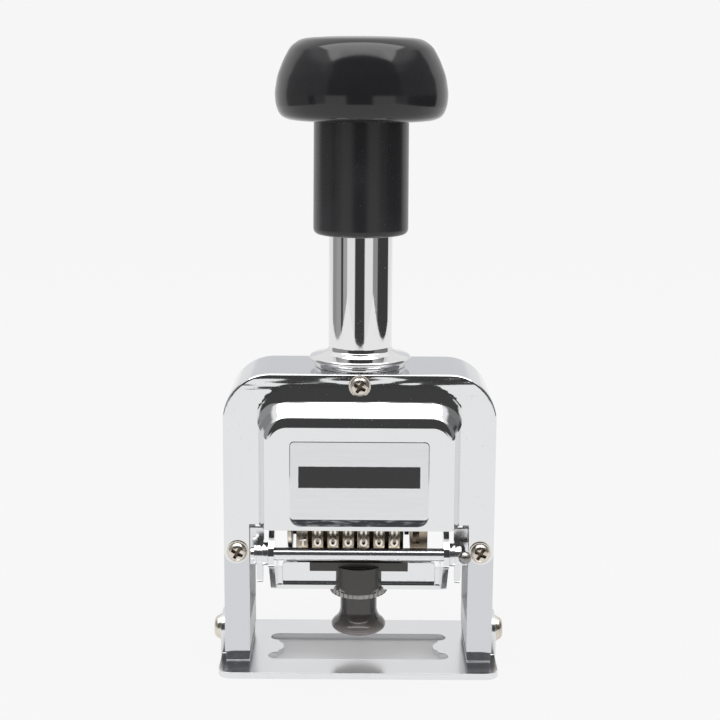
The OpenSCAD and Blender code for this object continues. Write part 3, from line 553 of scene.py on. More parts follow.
def finishes():
    """Every finish of the machine: its material's name and what builds it."""
    moulding = settings().moulding
    black = list(moulding.knob)
    return {
        "frame": ("frame_plate", plated((0.82, 0.83, 0.85))),
        "cover": ("cover_plate", plated(ripple=1.2, waves=0.6)),
        # Painted reflection: the dark, streaked finish of the label wedge's downward slope.
        "bevel": ("cover_bevel_painted_reflection", bevel_painted_reflection),
        # Painted shade: dark brown metal inside the screws' cross recesses.
        "recess": ("screw_recess_painted_shade", machined((0.20, 0.16, 0.12), (0.10, 0.08, 0.06), 0.42)),
        "lining": ("frame_lining_painted_light", pale_lining_painted_light),
        "base": ("base_plate_satin", plated(roughness=3.8, ripple=0.5)),
        "tube": ("tube_plate", plated((1.02, 1.01, 1.0), roughness=0.6, ripple=0.4)),
        "rod": ("rod_plate", plated(roughness=3.6, ripple=0.4)),
        "carrier": ("carrier_plate", plated(roughness=1.6, ripple=0.8)),
        "nickel": ("nickel_screw", machined((0.80, 0.745, 0.67), (0.50, 0.44, 0.37), 0.24)),
        "steel": ("bright_steel", machined((0.72, 0.72, 0.73), (0.46, 0.46, 0.47), 0.26)),
        "spring": ("spring_steel_wire", machined((0.55, 0.56, 0.58), (0.33, 0.34, 0.36), 0.3)),
        "yoke": ("yoke_metal_cut", machined((0.62, 0.57, 0.50), (0.34, 0.30, 0.25), 0.30)),
        "brass": ("selector_metal", machined((0.50, 0.42, 0.32), (0.24, 0.19, 0.13), 0.30)),
        "drum": ("selector_drum_metal", machined((0.13, 0.10, 0.08), (0.05, 0.04, 0.03), 0.42)),
        "wheel": ("wheel_metal", engraved),
        "label": ("label_stock", labelled),
        "knob": ("knob_black", moulded(black, moulding.gloss * 0.5, 0.3)),
        "sleeve": ("sleeve_black", moulded(black, moulding.gloss)),
        "clip": ("clip_dark", moulded((0.048, 0.046, 0.041), 0.30, 0.5)),
        "grip": ("grip_smoked", smoked),
        # Painted light: a pale underside for the grip, lifting it and its reflection in the base out of the shade.
        "foot": ("grip_underside_painted_light", moulded((0.46, 0.45, 0.44), 0.3, 0.3)),
        # Dull nickel of the lock button; on the grip ring's teeth the same finish is painted shade.
        "dull": ("dull_nickel_and_painted_shade", machined((0.40, 0.39, 0.38), (0.20, 0.19, 0.18), 0.30)),
        "felt": ("ink_felt", felted),
        "leg_block": ("dark_leg_block_finish", dark_leg_blocks),
    }


def finish_of(name):
    return finish(*finishes()[name])


# -------------------------------- modelling, in millimetres


def grow(bm, chain, points, closed=False):
    """Extrudes a chain of vertices and lays the new ones on the points."""
    pairs = list(zip(chain, chain[1:] + chain[:1] if closed else chain[1:]))
    edges = [bm.edges.get(pair) or bm.edges.new(pair) for pair in pairs]
    made = set(bmesh.ops.extrude_edge_only(bm, edges=edges)["geom"])
    grown = [next(e.other_vert(v) for e in v.link_edges if e.other_vert(v) in made) for v in chain]
    for vert, point in zip(grown, points):
        vert.co = point
    return grown


def loft(bm, loops, closed=False, cap_first=False, cap_last=False):
    """A skin through loops of points that have equal numbers."""
    chains = [[bm.verts.new(point) for point in loops[0]]]
    for points in loops[1:]:
        chains.append(grow(bm, chains[-1], points, closed))
    if cap_first:
        bm.faces.new(chains[0])
    if cap_last:
        bm.faces.new(chains[-1])
    return chains


def tidy(bm, merge=0.002):
    """Merges what coincides and turns the faces outward."""
    bmesh.ops.remove_doubles(bm, verts=bm.verts, dist=merge)
    bmesh.ops.recalc_face_normals(bm, faces=bm.faces)


def rounded(points, radius, steps=4):
    """A path of points with each inner corner eased into a curve."""
    path = [Vector(points[0])]
    for before, at, after in zip(points, points[1:], points[2:]):
        before, at, after = Vector(before), Vector(at), Vector(after)
        back, on = before - at, after - at
        reach = min(radius, 0.45 * back.length, 0.45 * on.length)
        start, end = at + back.normalized() * reach, at + on.normalized() * reach
        for i in range(steps + 1):
            t = i / steps
            path.append(start * (1 - t) ** 2 + at * (2 * t * (1 - t)) + end * t**2)
    return path + [Vector(points[-1])]


def spun(profile, steps=128, ring=False):
    """A turned shape about Z from its profile of radius and height; a ring's profile is closed."""
    bm = bmesh.new()
    verts = [bm.verts.new((point[0], 0, point[1])) for point in profile]
    ends = zip(verts, verts[1:] + verts[:1] if ring else verts[1:])
    edges = [bm.edges.new(pair) for pair in ends]
    bmesh.ops.spin(
        bm, geom=verts + edges, axis=(0, 0, 1), cent=(0, 0, 0), angle=math.tau, steps=steps,
        use_merge=True,
    )
    tidy(bm, 0.0005)
    return bm


def lay_along_x(bm, x, y, z):
    """Turns a shape that was spun about Z so that its axis runs along X through y, z."""
    matrix = Matrix.Translation((x, y, z)) @ Matrix.Rotation(math.pi / 2, 4, "Y")
    bmesh.ops.transform(bm, matrix=matrix, verts=bm.verts)


def soften(bm, width, steps=2, angle=math.radians(30)):
    """Rounds every edge that is sharper than the angle."""
    sharp = [e for e in bm.edges if len(e.link_faces) == 2 and e.calc_face_angle(0) > angle]
    bmesh.ops.bevel(
        bm, geom=sharp, offset=width, segments=steps, profile=0.5, affect="EDGES", material=-1,
        clamp_overlap=True,
    )


def copied(name):
    """The CAD node's own form, merged and with its flat faces whole."""
    bm = bmesh.new()
    bm.from_mesh(NODES[name].data)
    bmesh.ops.scale(bm, vec=(1 / MM,) * 3, verts=bm.verts)
    bmesh.ops.remove_doubles(bm, verts=bm.verts, dist=0.002)
    bmesh.ops.dissolve_limit(
        bm, angle_limit=math.radians(1.0), use_dissolve_boundaries=False, verts=bm.verts,
        edges=bm.edges,
    )
    return bm


def add_piece(bm, name, body, finish_name, nodes=()):
    """Puts a form drawn in millimetres into the scene as a finished piece of the machine."""
    bmesh.ops.scale(bm, vec=(MM,) * 3, verts=bm.verts)
    mesh = bpy.data.meshes.new(name)
    bm.to_mesh(mesh)
    bm.free()
    mesh.shade_smooth()
    mesh.set_sharp_from_angle(angle=SHARP)
    piece = bpy.data.objects.new(name, mesh)
    bpy.context.scene.collection.objects.link(piece)
    mesh.materials.append(finish_of(finish_name))
    weighted = piece.modifiers.new("Flat faces", "WEIGHTED_NORMAL")
    weighted.keep_sharp = True
    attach(piece, body)
    if nodes:
        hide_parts(*nodes)
    return piece


def refinish(piece, finish_name, wanted):
    """A second finish for the faces where wanted(centre in millimetres, normal) holds."""
    piece.data.materials.append(finish_of(finish_name))
    for face in piece.data.polygons:
        if wanted(face.center / MM, face.normal):
            face.material_index = len(piece.data.materials) - 1


def body_of(name):
    bodies = FRAME["record"]["behaviour"]["bodies"]
    return next(body for body, nodes in bodies.items() if name in nodes)


def ease(name, finish_name, width=0.15, steps=2):
    """A CAD node's form with its edges broken, in place of the node."""
    bm = copied(name)
    soften(bm, width, steps)
    return add_piece(bm, name + "_eased", body_of(name), finish_name, [name])


def dress(names, finish_name):
    """Finishes CAD nodes that keep their own mesh."""
    for name in names:
        materials = NODES[name].data.materials
        materials.clear()
        materials.append(finish_of(finish_name))


# -------------------------------- covers


def arch(half, top, radius, side_y, top_y, foot, steps=18):
    """Points over an arch from its right foot to its left; y goes from side_y to top_y and back."""
    right = [(half, side_y, foot)]
    for i in range(steps + 1):
        turn = math.pi / 2 * i / steps
        x, z = half - radius + radius * math.cos(turn), top - radius + radius * math.sin(turn)
        right.append((x, side_y + (top_y - side_y) * math.sin(turn) ** 2, z))
    return right + [(-x, y, z) for x, y, z in reversed(right)]


def press_profile(run, depth, cove, edge, steps=10):
    """Run and depth along a pressed step: a cove, a slope and a rounded edge."""
    low, high = 0.05, math.pi / 2 - 0.01
    for _ in range(40):
        turn = (low + high) / 2
        slope = (run - (cove + edge) * math.sin(turn)) / math.cos(turn)
        reach = (cove + edge) * (1 - math.cos(turn)) + slope * math.sin(turn)
        low, high = (turn, high) if reach < depth else (low, turn)

    def bend(radius):
        turns = [turn * i / steps for i in range(steps + 1)]
        return [(radius * math.sin(t), radius * (1 - math.cos(t))) for t in turns]

    return bend(cove) + [(run - u, depth - v) for u, v in reversed(bend(edge))]


def mixed(low, high, share):
    return tuple(a + (b - a) * share for a, b in zip(low, high))


def cover_sheet():
    """The pressed sheet of a cover: rolled rim, flange, bulge and a strip down each leg."""
    bm = bmesh.new()
    strip_r = (RIM[0] - STRIP_INNER) / 2
    strip_x = STRIP_INNER + strip_r
    rings = [arch(*RIM, -COVER_BACK, -COVER_BACK, BULGE_FOOT)]
    for i in range(5):
        turn = math.pi / 2 * i / 4
        inset = RIM_ROLL * (1 - math.cos(turn))
        front = COVER_FRONT - RIM_ROLL * (1 - math.sin(turn))
        rings.append(arch(*(size - inset for size in RIM), -front, -front, BULGE_FOOT))
    count = 14
    rolled = tuple(size - RIM_ROLL for size in RIM)
    reach = strip_r - RIM_ROLL / 2
    shares = [
        reach * (1 - math.cos(math.pi * i / count)) / (rolled[0] - BULGE[0])
        for i in range(1, count + 1)
    ]
    for share in shares + [(1 + shares[-1]) / 2, 1]:
        front = COVER_FRONT + RIM_LEAN * share
        rings.append(arch(*mixed(rolled, BULGE, share), -COVER_FRONT, -front, BULGE_FOOT))
    strips = len(rings) - 2
    sides = press_profile(BULGE[0] - FACE[0], FACE_FRONT - COVER_FRONT, *SIDE_RADII)
    tops = press_profile(BULGE[1] - FACE[1], FACE_FRONT - COVER_FRONT - RIM_LEAN, *TOP_RADII)
    for side, top in zip(sides[1:], tops[1:]):
        share = (side[0] / sides[-1][0] + top[0] / tops[-1][0]) / 2
        rings.append(arch(
            BULGE[0] - side[0], BULGE[1] - top[0], mixed(BULGE, FACE, share)[2],
            -COVER_FRONT - side[1], -COVER_FRONT - RIM_LEAN - top[1], BULGE_FOOT,
        ))
    chains = loft(bm, rings, cap_last=True)

    def strip_end(x, y):
        down = math.sqrt(max(strip_r**2 - (abs(x) - strip_x) ** 2, 0))
        return x, y, STRIP_FOOT + strip_r - down

    for end in (0, -1):
        foot = [chain[end] for chain in chains[:strips]]
        grow(bm, foot, [strip_end(*v.co.xy) for v in foot])
    tidy(bm)
    face = max(bm.faces, key=lambda f: f.calc_area())
    if face.normal.y > 0:
        bmesh.ops.reverse_faces(bm, faces=bm.faces)
    bmesh.ops.solidify(bm, geom=bm.faces[:], thickness=SHEET)
    soften(bm, SHEET_EDGE, 2, math.radians(55))
    return bm


def box_points(half, low, high, radius, y, steps=6):
    """Points round an upright rectangle with arc corners; y is a number or a function of height."""
    points = []
    corners = ((half, low, -90), (half, high, 0), (-half, high, 90), (-half, low, 180))
    for x, z, start in corners:
        centre_x, centre_z = x - math.copysign(radius, x), z + (radius if z == low else -radius)
        for i in range(steps + 1):
            a = math.radians(start + 90 * i / steps)
            at_z = centre_z + radius * math.sin(a)
            at_y = y(at_z) if callable(y) else y
            points.append((centre_x + radius * math.cos(a), at_y, at_z))
    return points


def wedge_front(z):
    """Where the slope under the label stands at a height."""
    (low, front), (high, back) = WEDGE_FOOT, WEDGE_TOP
    return front + (back - front) * (z - low) / (high - low)


def label_wedge():
    """Raised wedge under the label, with a slope at its lower edge."""
    bm = bmesh.new()
    loft(bm, [
        box_points(WEDGE_HALF, WEDGE_LOW - 0.1, WEDGE_TOP[0] + 0.02, 2.6, -FACE_FRONT + 0.3),
        box_points(WEDGE_HALF, WEDGE_LOW, WEDGE_TOP[0] + 0.02, 2.5, -FACE_FRONT - 0.02),
        box_points(WEDGE_HALF - 0.05, WEDGE_FOOT[0], WEDGE_TOP[0], 1.0, wedge_front),
    ], closed=True, cap_first=True, cap_last=True)
    tidy(bm)
    soften(bm, 0.04, 2, math.radians(18))
    return bm


def label_form():
    """Thin label on the wedge's slope."""
    bm = bmesh.new()
    outline = (LABEL_HALF, WEDGE_FOOT[0] + LABEL_MARGIN, WEDGE_TOP[0] - LABEL_MARGIN, LABEL_CORNER)
    loft(bm, [
        box_points(*outline, lambda z: wedge_front(z) + 0.02),
        box_points(*outline, lambda z: wedge_front(z) - 0.03),
    ], closed=True, cap_first=True, cap_last=True)
    tidy(bm)
    return bm


# -------------------------------- turned parts


def knob_form():
    """Palm knob: shallow crown, rolled rim and a flank that runs back under."""
    inside = [(KNOB_BORE[0], KNOB_FOOT), KNOB_BORE, (0, KNOB_BORE[1])]
    return spun(rounded(KNOB_PROFILE, 1.2, 3) + [Vector(p) for p in inside])


def sleeve_form():
    """Sleeve under the knob, a little drawn in towards it, with a rounded mouth."""
    outside = [(SLEEVE_R - 0.1, KNOB_FOOT), (SLEEVE_R, SLEEVE_FOOT), (SLEEVE_BORE, SLEEVE_FOOT)]
    return spun(rounded(outside, 2.0, 8) + [Vector((SLEEVE_BORE, KNOB_FOOT))], ring=True)


def tube_form():
    """Guide tube with its turned collar: a cone, a disc, a groove and a lower ring."""
    mouth = [(TUBE_R, TUBE_TOP - 0.6), (TUBE_R - 0.6, TUBE_TOP), (TUBE_BORE, TUBE_TOP)]
    inside = [(TUBE_BORE, SPRING_SEAT), (ROD_BORE, SPRING_SEAT), (ROD_BORE, TUBE_FOOT)]
    points = [(TUBE_R, TUBE_FOOT)] + COLLAR_PROFILE + mouth + inside
    return spun(rounded(points, 0.16, 2), ring=True)


def grip_form():
    """Trumpet grip under the pad, with a rolled foot."""
    bm = spun(rounded(GRIP_PROFILE, 0.7, 4), 96)
    bmesh.ops.translate(bm, vec=(0, GRIP_Y, 0), verts=bm.verts)
    return bm


def grip_ring():
    """Serrated ring over the grip, with a bright rim that closes round the column's foot."""
    bore, inner, low, floor, top = 1.62, 6.68, 16.72, 17.7, 18.85

    def circle(radius, height, tooth=0.0):
        points = []
        for i in range(2 * TEETH):
            turn, reach = math.pi * i / TEETH, radius - tooth * (i % 2)
            points.append((reach * math.cos(turn), reach * math.sin(turn) + GRIP_Y, height))
        return points

    bm = bmesh.new()
    loft(bm, [
        circle(bore, floor), circle(bore, low), circle(6.6, low),
        circle(TEETH_R, low + 0.3, TOOTH), circle(TEETH_R, TEETH_TOP, TOOTH),
        circle(TEETH_R + 0.03, TEETH_TOP + TEETH_SHOULDER), circle(6.75, top), circle(inner, top),
        circle(inner, floor), circle(bore, floor),
    ], closed=True)
    tidy(bm)
    return bm


# -------------------------------- number wheels


def bow(x, y, width, height, start, stop, steps=12):
    """Points on an oval arc between two angles in degrees."""
    turns = [math.radians(start + (stop - start) * i / steps) for i in range(steps + 1)]
    return [(x + width * math.cos(t), y + height * math.sin(t)) for t in turns]


def loop(x, y, width, height):
    return bow(x, y, width, height, 0, 345, 23), True


def digit_strokes(digit):
    """Centre lines of a digit in a box 1.8 wide and 3.9 high, each with whether it is closed."""
    six = [loop(0, -0.92, 0.9, 1.03), (bow(0.75, -0.6, 1.63, 2.5, 180, 105, 8), False)]
    return {
        0: [loop(0, 0, 0.9, 1.95)],
        1: [([(-0.55, 1.25), (0.1, 1.95), (0.1, -1.95)], False)],
        2: [(bow(0, 1.0, 0.9, 0.95, 165, -30) + [(-0.9, -1.95), (0.95, -1.95)], False)],
        3: [(bow(0, 1.0, 0.82, 0.95, 150, -90) + bow(0, -0.98, 0.9, 0.97, 85, -150), False)],
        4: [([(0.95, -0.7), (-0.95, -0.7), (0.4, 1.95), (0.4, -1.95)], False)],
        5: [([(0.8, 1.95), (-0.65, 1.95), (-0.75, 0.25)]
             + bow(0, -0.75, 0.9, 1.2, 125, -150), False)],
        6: six,
        7: [([(-0.9, 1.95), (0.9, 1.95), (-0.25, -1.95)], False)],
        8: [loop(0, 1.0, 0.78, 0.95), loop(0, -0.97, 0.9, 0.98)],
        9: [([(-x, -y) for x, y in points], closed) for points, closed in six],
    }[digit]


def wheel_form(index):
    """A number wheel: recessed ring, ratchet disc and ten raised, mirrored digits."""
    side = [
        (WHEEL_BORE, 0), (4.2, 0), (4.3, 0.5), (8.2, 0.5), (8.3, 0), (9.55, 0), (RING_R, 0.15),
        (RING_R, RING_W - 0.15), (9.55, RING_W), (WHEEL_BORE, RING_W),
    ]
    bm = spun(side, 80, ring=True)

    def star(radii, shares, height):
        spokes = [(i + share, radius) for i in range(10) for share, radius in zip(shares, radii)]
        return [
            (radius * math.cos(DIGIT_STEP * step), radius * math.sin(DIGIT_STEP * step), height)
            for step, radius in spokes
        ]

    teeth = (RATCHET_RADII, (0.5, 0.5))
    bore = ((WHEEL_BORE, WHEEL_BORE), (0.35, 0.65))
    ratchet = bmesh.new()
    low, high = RING_W - 0.1, RING_W + RATCHET_W
    loft(ratchet, [
        star(*bore, low), star(*bore, high), star(*teeth, high), star(*teeth, low), star(*bore, low)
    ], closed=True)
    tidy(ratchet)
    join(bm, ratchet)
    for place in range(10):
        digit = (SHOWN[index] + place) % 10
        join(bm, digit_form(digit, FIRST_DIGIT + place * DIGIT_STEP))
    lay_along_x(bm, STACK_LEFT + index * WHEEL_PITCH, 0, AXLE_Z)
    return bm


def digit_form(digit, angle):
    """Raised strokes of one digit on a wheel about Z, with the digit's middle at an angle."""
    bm = bmesh.new()
    for points, closed in digit_strokes(digit):
        walls = []
        for radius in (RING_R - 0.1, DIGIT_R):
            walls.append([
                (radius * math.sin(turn), radius * math.cos(turn), RING_W / 2 + x)
                for x, turn in ((x, angle + y * DIGIT_TALL / DIGIT_R) for x, y in points)
            ])
        loft(bm, walls, closed=closed)
    tidy(bm)
    bmesh.ops.solidify(bm, geom=bm.faces[:], thickness=DIGIT_WALL)
    bmesh.ops.recalc_face_normals(bm, faces=bm.faces)
    return bm


def join(bm, other):
    """Adds another form to bm and frees it."""
    mesh = bpy.data.meshes.new("joined")
    other.to_mesh(mesh)
    other.free()
    bm.from_mesh(mesh)
    bpy.data.meshes.remove(mesh)


# -------------------------------- ink pad


def felt_form():
    """Felt pad: crowned top and soft edges."""
    low, high = (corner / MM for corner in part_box("ink_pad"))
    bm = bmesh.new()
    bmesh.ops.create_cube(bm, size=1.0)
    bmesh.ops.scale(bm, vec=high - low, verts=bm.verts)
    bmesh.ops.translate(bm, vec=(low + high) / 2, verts=bm.verts)
    soften(bm, FELT_EDGE, 3)
    bmesh.ops.subdivide_edges(bm, edges=bm.edges[:], cuts=9, use_grid_fill=True)
    middle = (low + high) / 2
    for vert in bm.verts:
        across = (vert.co.x - middle.x) / (high.x - middle.x)
        along = (vert.co.y - middle.y) / (high.y - middle.y)
        crown = (1 - across**4) * (1 - along**4)
        if vert.co.z > middle.z:
            vert.co.z -= FELT_CROWN * (1 - crown)
    tidy(bm)
    return bm


# -------------------------------- operators


class NUMBERING_OT_frame(bpy.types.Operator):
    """Plate the arch-shaped frame and break its edges"""

    bl_idname = "numbering.frame"
    bl_label = "Frame"

    def execute(self, context):
        arch_piece = ease("main_frame", "frame", 0.35, 3)

        def inside(centre, normal):
            between = abs(centre.x) < LEG_INSIDE and abs(centre.y) < FLANGE_INSIDE
            return between and (centre.z < BEAM_UNDERSIDE or normal.z < 0)

        def foot(centre, normal):
            return centre.z < SPACER_FOOT and -0.95 < normal.z < -0.2

        # Painted light: the frame's inner faces get a pale, dull finish that reads light in the channel's shade.
        refinish(arch_piece, "lining", inside)
        spacers = ease("foot_spacers", "leg_block", 0.3)
        refinish(spacers, "base", foot)
        dress(["tube_nut", "guide_bracket"], "steel")
        return {"FINISHED"}


class NUMBERING_OT_covers(bpy.types.Operator):
    """Press the front and rear covers and fit the label"""

    bl_idname = "numbering.covers"
    bl_label = "Covers and label"

    def execute(self, context):
        front = cover_sheet()
        rear = front.copy()
        add_piece(front, "cover_front", "frame", "cover", ["front_cover"])
        bmesh.ops.scale(rear, vec=(1, -1, 1), verts=rear.verts)
        bmesh.ops.reverse_faces(rear, faces=rear.faces)
        add_piece(rear, "cover_rear", "frame", "cover", ["rear_cover"])
        wedge = add_piece(label_wedge(), "label_wedge", "frame", "cover")
        # Painted reflection: the wedge's downward slope gets the dark, streaked bevel finish.
        refinish(wedge, "bevel", lambda centre, normal: normal.z < -0.3)
        add_piece(label_form(), "label_blank", "frame", "label", ["label_plate"])
        return {"FINISHED"}


class NUMBERING_OT_base(bpy.types.Operator):
    """Round the edges of the base plate"""

    bl_idname = "numbering.base"
    bl_label = "Base plate"

    def execute(self, context):
        ease("base_plate", "base", 0.4, 3)
        return {"FINISHED"}


class NUMBERING_OT_plunger(bpy.types.Operator):
    """Turn the guide tube, sleeve and palm knob, and coil the return spring"""

    bl_idname = "numbering.plunger"
    bl_label = "Tube, sleeve and knob"

    def execute(self, context):
        add_piece(tube_form(), "tube_turned", "frame", "tube", ["guide_tube"])
        sleeve = sleeve_form()
        add_piece(sleeve, "sleeve_turned", "plunger", "sleeve", ["knob_sleeve"])
        add_piece(knob_form(), "knob_turned", "plunger", "knob", ["palm_knob"])
        dress(["plunger_rod", "rod_nut"], "steel")
        low, high = (corner.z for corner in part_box("return_spring"))
        slide = next(joint for joint in FRAME["joints"] if joint["name"] == "plunger_slide")
        stroke = slide["range_m"][1]
        coil = add_piece(
            copied("return_spring"), "return_coil", "plunger", "spring",
            ["return_spring"],
        )
        1 - stroke / (high - low)
        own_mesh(coil)
        return {"FINISHED"}


class NUMBERING_OT_wheels(bpy.types.Operator):
    """Model the number wheels with their raised digits"""

    bl_idname = "numbering.wheels"
    bl_label = "Number wheels"

    def execute(self, context):
        for index in range(len(SHOWN)):
            name = f"number_wheel_{index + 1}"
            wheel = wheel_form(index)
            add_piece(wheel, f"{name}_digits", body_of(name), "wheel", [name])
        return {"FINISHED"}


class NUMBERING_OT_head(bpy.types.Operator):
    """Finish the yoke, axle, pawls, detents and selector"""

    bl_idname = "numbering.head"
    bl_label = "Numbering head"

    def execute(self, context):
        ease("wheel_yoke", "yoke", 0.2)
        ease("selector_bracket", "brass", 0.1)
        dress(["wheel_axle", "axle_clip", "drive_pins", "pawl_frame", "pawl_comb"], "steel")
        dress(["detent_comb"], "spring")
        dress(["repeat_selector"], "drum")
        drum = spun(DRUM_PROFILE, 64, ring=True)
        lay_along_x(drum, SELECTOR_FACE, 0, AXLE_Z)
        add_piece(drum, "selector_drum", "selector", "drum")
        return {"FINISHED"}


class NUMBERING_OT_rod(bpy.types.Operator):
    """Finish the cross rod, its hangers and the lock button"""

    bl_idname = "numbering.rod"
    bl_label = "Cross rod"

    def execute(self, context):
        ease("rod_hangers", "rod", 0.3, 3)
        ease("cross_rod", "rod", 0.2)
        ease("rod_washers", "rod", 0.08)
        ease("rod_clip", "rod", 0.1)
        dress(["lock_button"], "dull")
        return {"FINISHED"}


class NUMBERING_OT_pad(bpy.types.Operator):
    """Model the ink pad, its carrier and the grip"""

    bl_idname = "numbering.pad"
    bl_label = "Ink pad"

    def execute(self, context):
        ease("pad_carrier", "carrier", 0.18)
        ease("ink_box", "carrier", 0.2)
        ease("handle_bracket", "clip", 0.25)
        body = body_of("knurled_nut")
        ring = add_piece(grip_ring(), "grip_ring", body, "rod", ["knurled_nut"])
        # Painted shade: the ring's teeth, below its bright rim, get the darker dull finish.
        refinish(ring, "dull", lambda centre, normal: centre.z < TEETH_TOP + TEETH_SHOULDER)
        dress(["handle_screw"], "steel")
        felt = add_piece(felt_form(), "felt_pad", body_of("ink_pad"), "felt", ["ink_pad"])
        body = body_of("pad_knob")
        grip = add_piece(grip_form(), "grip_turned", body, "grip", ["pad_knob"])
        # Painted light: the grip's underside gets a pale finish against the shade under the machine.
        refinish(grip, "foot", lambda centre, normal: centre.z < GRIP_UNDERSIDE)
        return {"FINISHED"}


class NUMBERING_OT_screws(bpy.types.Operator):
    """Break the edges of the cross-recess screws"""

    bl_idname = "numbering.screws"
    bl_label = "Screws"

    def execute(self, context):
        for name, seats, across in (
            ("front_cover_screws", COVER_SCREWS, (0, 2)),
            ("rear_cover_screws", COVER_SCREWS, (0, 2)),
            ("base_screws", BASE_SCREWS, (1, 2)),
        ):
            piece = ease(name, "nickel", 0.05)
            axis = 3 - sum(across)
            front = max(abs(v.co[axis]) for v in piece.data.vertices) / MM

            def in_recess(centre, normal):
                here = (centre[across[0]], centre[across[1]])
                depth = front - abs(centre[axis])
                if min(math.dist(here, seat) for seat in seats) >= RECESS_R:
                    return False
                wall = depth > RECESS_FLOOR or abs(normal[axis]) < 0.5
                return RECESS[0] < depth < RECESS[1] and wall

            # Painted shade: the faces inside each cross recess get the dark recess finish.
            refinish(piece, "recess", in_recess)
        return {"FINISHED"}


# -------------------------------- stage

# Tones round the machine by direction: degrees where each starts, 0 in front.
ROOM = [
    (-180, 0.85), (-118, 0.30), (-96, 0.36), (-74, 0.05), (-65, 0.40), (-49, 0.86), (-20, 0.05),
    (15, 0.86), (45, 0.30), (64, 0.05), (118, 0.85),
]
UPPER_ROOM = [(-180, 0.85), (-118, 0.30), (-46, 0.055), (54, 0.20), (118, 0.85)]
# Soft steps between its parts: heights in degrees, sides in shares of a turn.
FLOOR_LINE = (-26, -16)
HORIZON = (-3, 3)
PANEL_FOOT = (3, 6)
PANEL_TOP = (15, 17.5)
PANEL_SIDE = (0.36, 0.42)
CEILING = (52, 64)
CEILING_DROP = 20
CEILING_SIDE = (0.10, 0.17)

AMBIENT = (0.73, 0.73, 0.74)
SHADE_X = (26 * MM, 34 * MM)
SHADE_Y = (13 * MM, 20 * MM)
FLOOR_SIZE = (0.9, 1.33)
FLOOR_MIDDLE = 0.235
LAMP_PLACE = (0, -0.15, 1.1)
LAMP_TARGET = (0, 0, 0.05)
LAMP_SIZE = (1.5, 0.9)
LAMP_POWER = 11.0


def round_room(nodes, turn, tones):
    """Tones by direction about the machine, with narrow steps between them."""
    stops = []
    for (start, tone), (_, before) in zip(tones, tones[-1:] + tones[:-1]):
        place = (start + 180) / 360
        if place > 0:
            stops.append((place - 0.004, before))
        stops.append((place + 0.004, tone))
    return nodes.node("ValToRGB", stops=stops, Fac=turn)


def room_light(nodes):
    """What bright metal sees: windows, walls and dark gaps by direction, a bright ceiling above."""
    direction = nodes.node("TexCoord", output=0)
    x, y, z = nodes.parts(direction)
    turn = x.maths("ARCTAN2", x, -1 * y) * (1 / math.tau) + 0.5
    up = z.maths("ARCSINE", z) * (180 / math.pi)
    lower, upper = (round_room(nodes, turn, tones) for tones in (ROOM, UPPER_ROOM))
    walls = nodes.mix_colour(up.above(*HORIZON), lower, upper)
    away = (turn - 0.5).absolute()
    panel = away.above(*PANEL_SIDE) * up.above(*PANEL_FOOT) * (1 - up.above(*PANEL_TOP))
    walls = nodes.mix_colour(panel, walls, (0.73, 0.735, 0.755))
    lowered = away.above(*CEILING_SIDE) * CEILING_DROP
    ceiling = nodes.mix_colour((up + lowered).above(*CEILING), walls, (0.95, 0.95, 0.955))
    return nodes.mix_colour(up.above(*FLOOR_LINE), (0.90, 0.90, 0.90), ceiling)


def build_world(stage):
    world = bpy.data.worlds.new("Studio")
    bpy.context.scene.world = world
    world.use_nodes = True
    nodes = Nodes(world.node_tree)
    seen, glossy, through = nodes.rays("Camera", "Glossy", "Transmission")
    paper = (stage.paper,) * 3
    tone = nodes.mix_colour(glossy, AMBIENT, room_light(nodes))
    tone = nodes.mix_colour((seen + through).clamped(), tone, paper)
    shine = nodes.node("Background", Color=tone, Strength=1.0)
    nodes.node("OutputWorld", Surface=shine)


def floor_paper(nodes):
    """Pale floor: even to the eye, with the machine's shade close under it."""
    stage = settings().stage
    paper = (stage.paper,) * 3
    x, y, _ = nodes.parts(nodes.place())
    under = (1 - x.absolute().above(*SHADE_X)) * (1 - y.absolute().above(*SHADE_Y))
    seen, glossy = nodes.rays("Camera", "Glossy")
    lit = nodes.node("BsdfDiffuse", Color=paper)
    even = nodes.node("Emission", Color=paper, Strength=1.0)
    share = (seen + glossy).clamped() * (0.96 - 0.9 * under)
    return nodes.node("MixShader", _0=share, _1=lit, _2=even)


def add_floor():
    """Lays the floor round the machine, and further out behind it."""
    bm = bmesh.new()
    bmesh.ops.create_grid(bm, x_segments=2, y_segments=2, size=0.5)
    bmesh.ops.scale(bm, vec=(*FLOOR_SIZE, 1), verts=bm.verts)
    bmesh.ops.translate(bm, vec=(0, FLOOR_MIDDLE, 0), verts=bm.verts)
    mesh = bpy.data.meshes.new("floor")
    bm.to_mesh(mesh)
    bm.free()
    mesh.materials.append(finish("floor_paper", floor_paper))
    floor = bpy.data.objects.new("floor", mesh)
    bpy.context.scene.collection.objects.link(floor)


def add_lamp():
    """Hangs one wide lamp over the machine, a little in front of it."""
    light = bpy.data.lights.new("overhead", "AREA")
    light.shape = "RECTANGLE"
    light.size, light.size_y = LAMP_SIZE
    light.energy = LAMP_POWER
    lamp = bpy.data.objects.new("overhead", light)
    bpy.context.scene.collection.objects.link(lamp)
    lamp.location = LAMP_PLACE
    aim = (Vector(LAMP_TARGET) - Vector(LAMP_PLACE)).to_track_quat("-Z", "Y")
    lamp.rotation_euler = aim.to_euler()


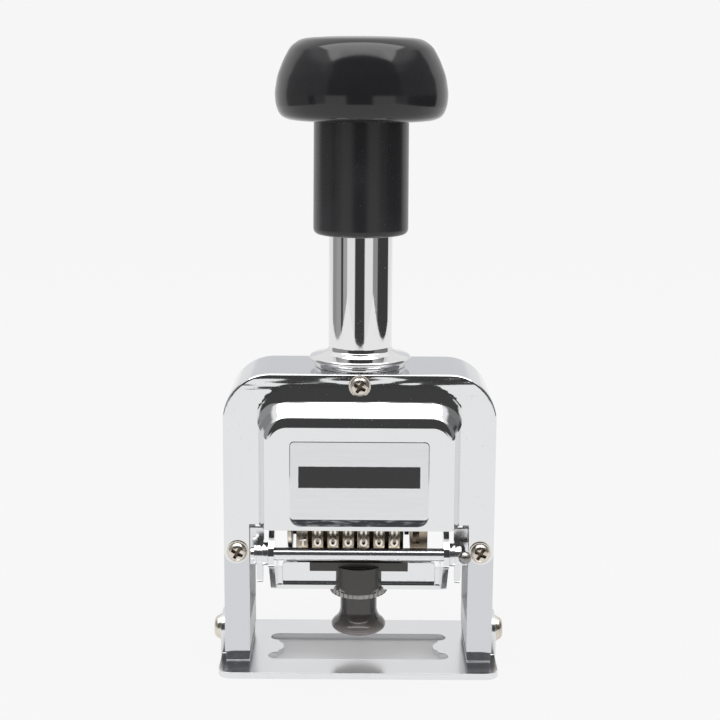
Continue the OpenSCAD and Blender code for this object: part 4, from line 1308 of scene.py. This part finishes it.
class NUMBERING_OT_stage(bpy.types.Operator):
    """Lay the floor and set the light and the camera"""

    bl_idname = "numbering.stage"
    bl_label = "Floor, light and camera"

    def execute(self, context):
        scene = context.scene
        stage = scene.numbering.stage
        scene.view_settings.view_transform = "Standard"
        build_world(stage)
        add_floor()
        add_lamp()
        camera_data = bpy.data.cameras.new("front")
        camera_data.lens = stage.lens
        camera = bpy.data.objects.new("front", camera_data)
        scene.collection.objects.link(camera)
        camera.location = (0, -stage.distance, stage.height)
        tilt = Matrix.Rotation(math.pi / 2 - stage.tilt, 4, "X")
        camera.rotation_euler = (tilt @ Matrix.Rotation(stage.roll, 4, "Z")).to_euler()
        scene.camera = camera
        return {"FINISHED"}


class NUMBERING_PT_panel(bpy.types.Panel):
    """Steps of the numbering machine's making and their settings"""

    bl_idname = "NUMBERING_PT_panel"
    bl_label = "Numbering machine"
    bl_space_type = "VIEW_3D"
    bl_region_type = "UI"
    bl_category = "Numbering"

    def draw(self, context):
        for step in STEPS:
            self.layout.operator(step.bl_idname)
        for group in (settings().plating, settings().moulding, settings().head, settings().stage):
            box = self.layout.box()
            for entry in group.bl_rna.properties:
                if entry.identifier not in ("rna_type", "name"):
                    box.prop(group, entry.identifier)


STEPS = (
    NUMBERING_OT_stage, NUMBERING_OT_frame, NUMBERING_OT_covers, NUMBERING_OT_base,
    NUMBERING_OT_plunger, NUMBERING_OT_wheels, NUMBERING_OT_head, NUMBERING_OT_rod,
    NUMBERING_OT_pad, NUMBERING_OT_screws,
)
CLASSES = (
    PlatingSettings, MouldingSettings, HeadSettings, StageSettings, MachineSettings, *STEPS,
    NUMBERING_PT_panel,
)


def register():
    for cls in CLASSES:
        bpy.utils.register_class(cls)
    bpy.types.Scene.numbering = bpy.props.PointerProperty(type=MachineSettings)


def unregister():
    del bpy.types.Scene.numbering
    for cls in reversed(CLASSES):
        bpy.utils.unregister_class(cls)


def main():
    register()
    for step in STEPS:
        group, name = step.bl_idname.split(".")
        getattr(getattr(bpy.ops, group), name)()


if __name__ == "__main__":
    main()
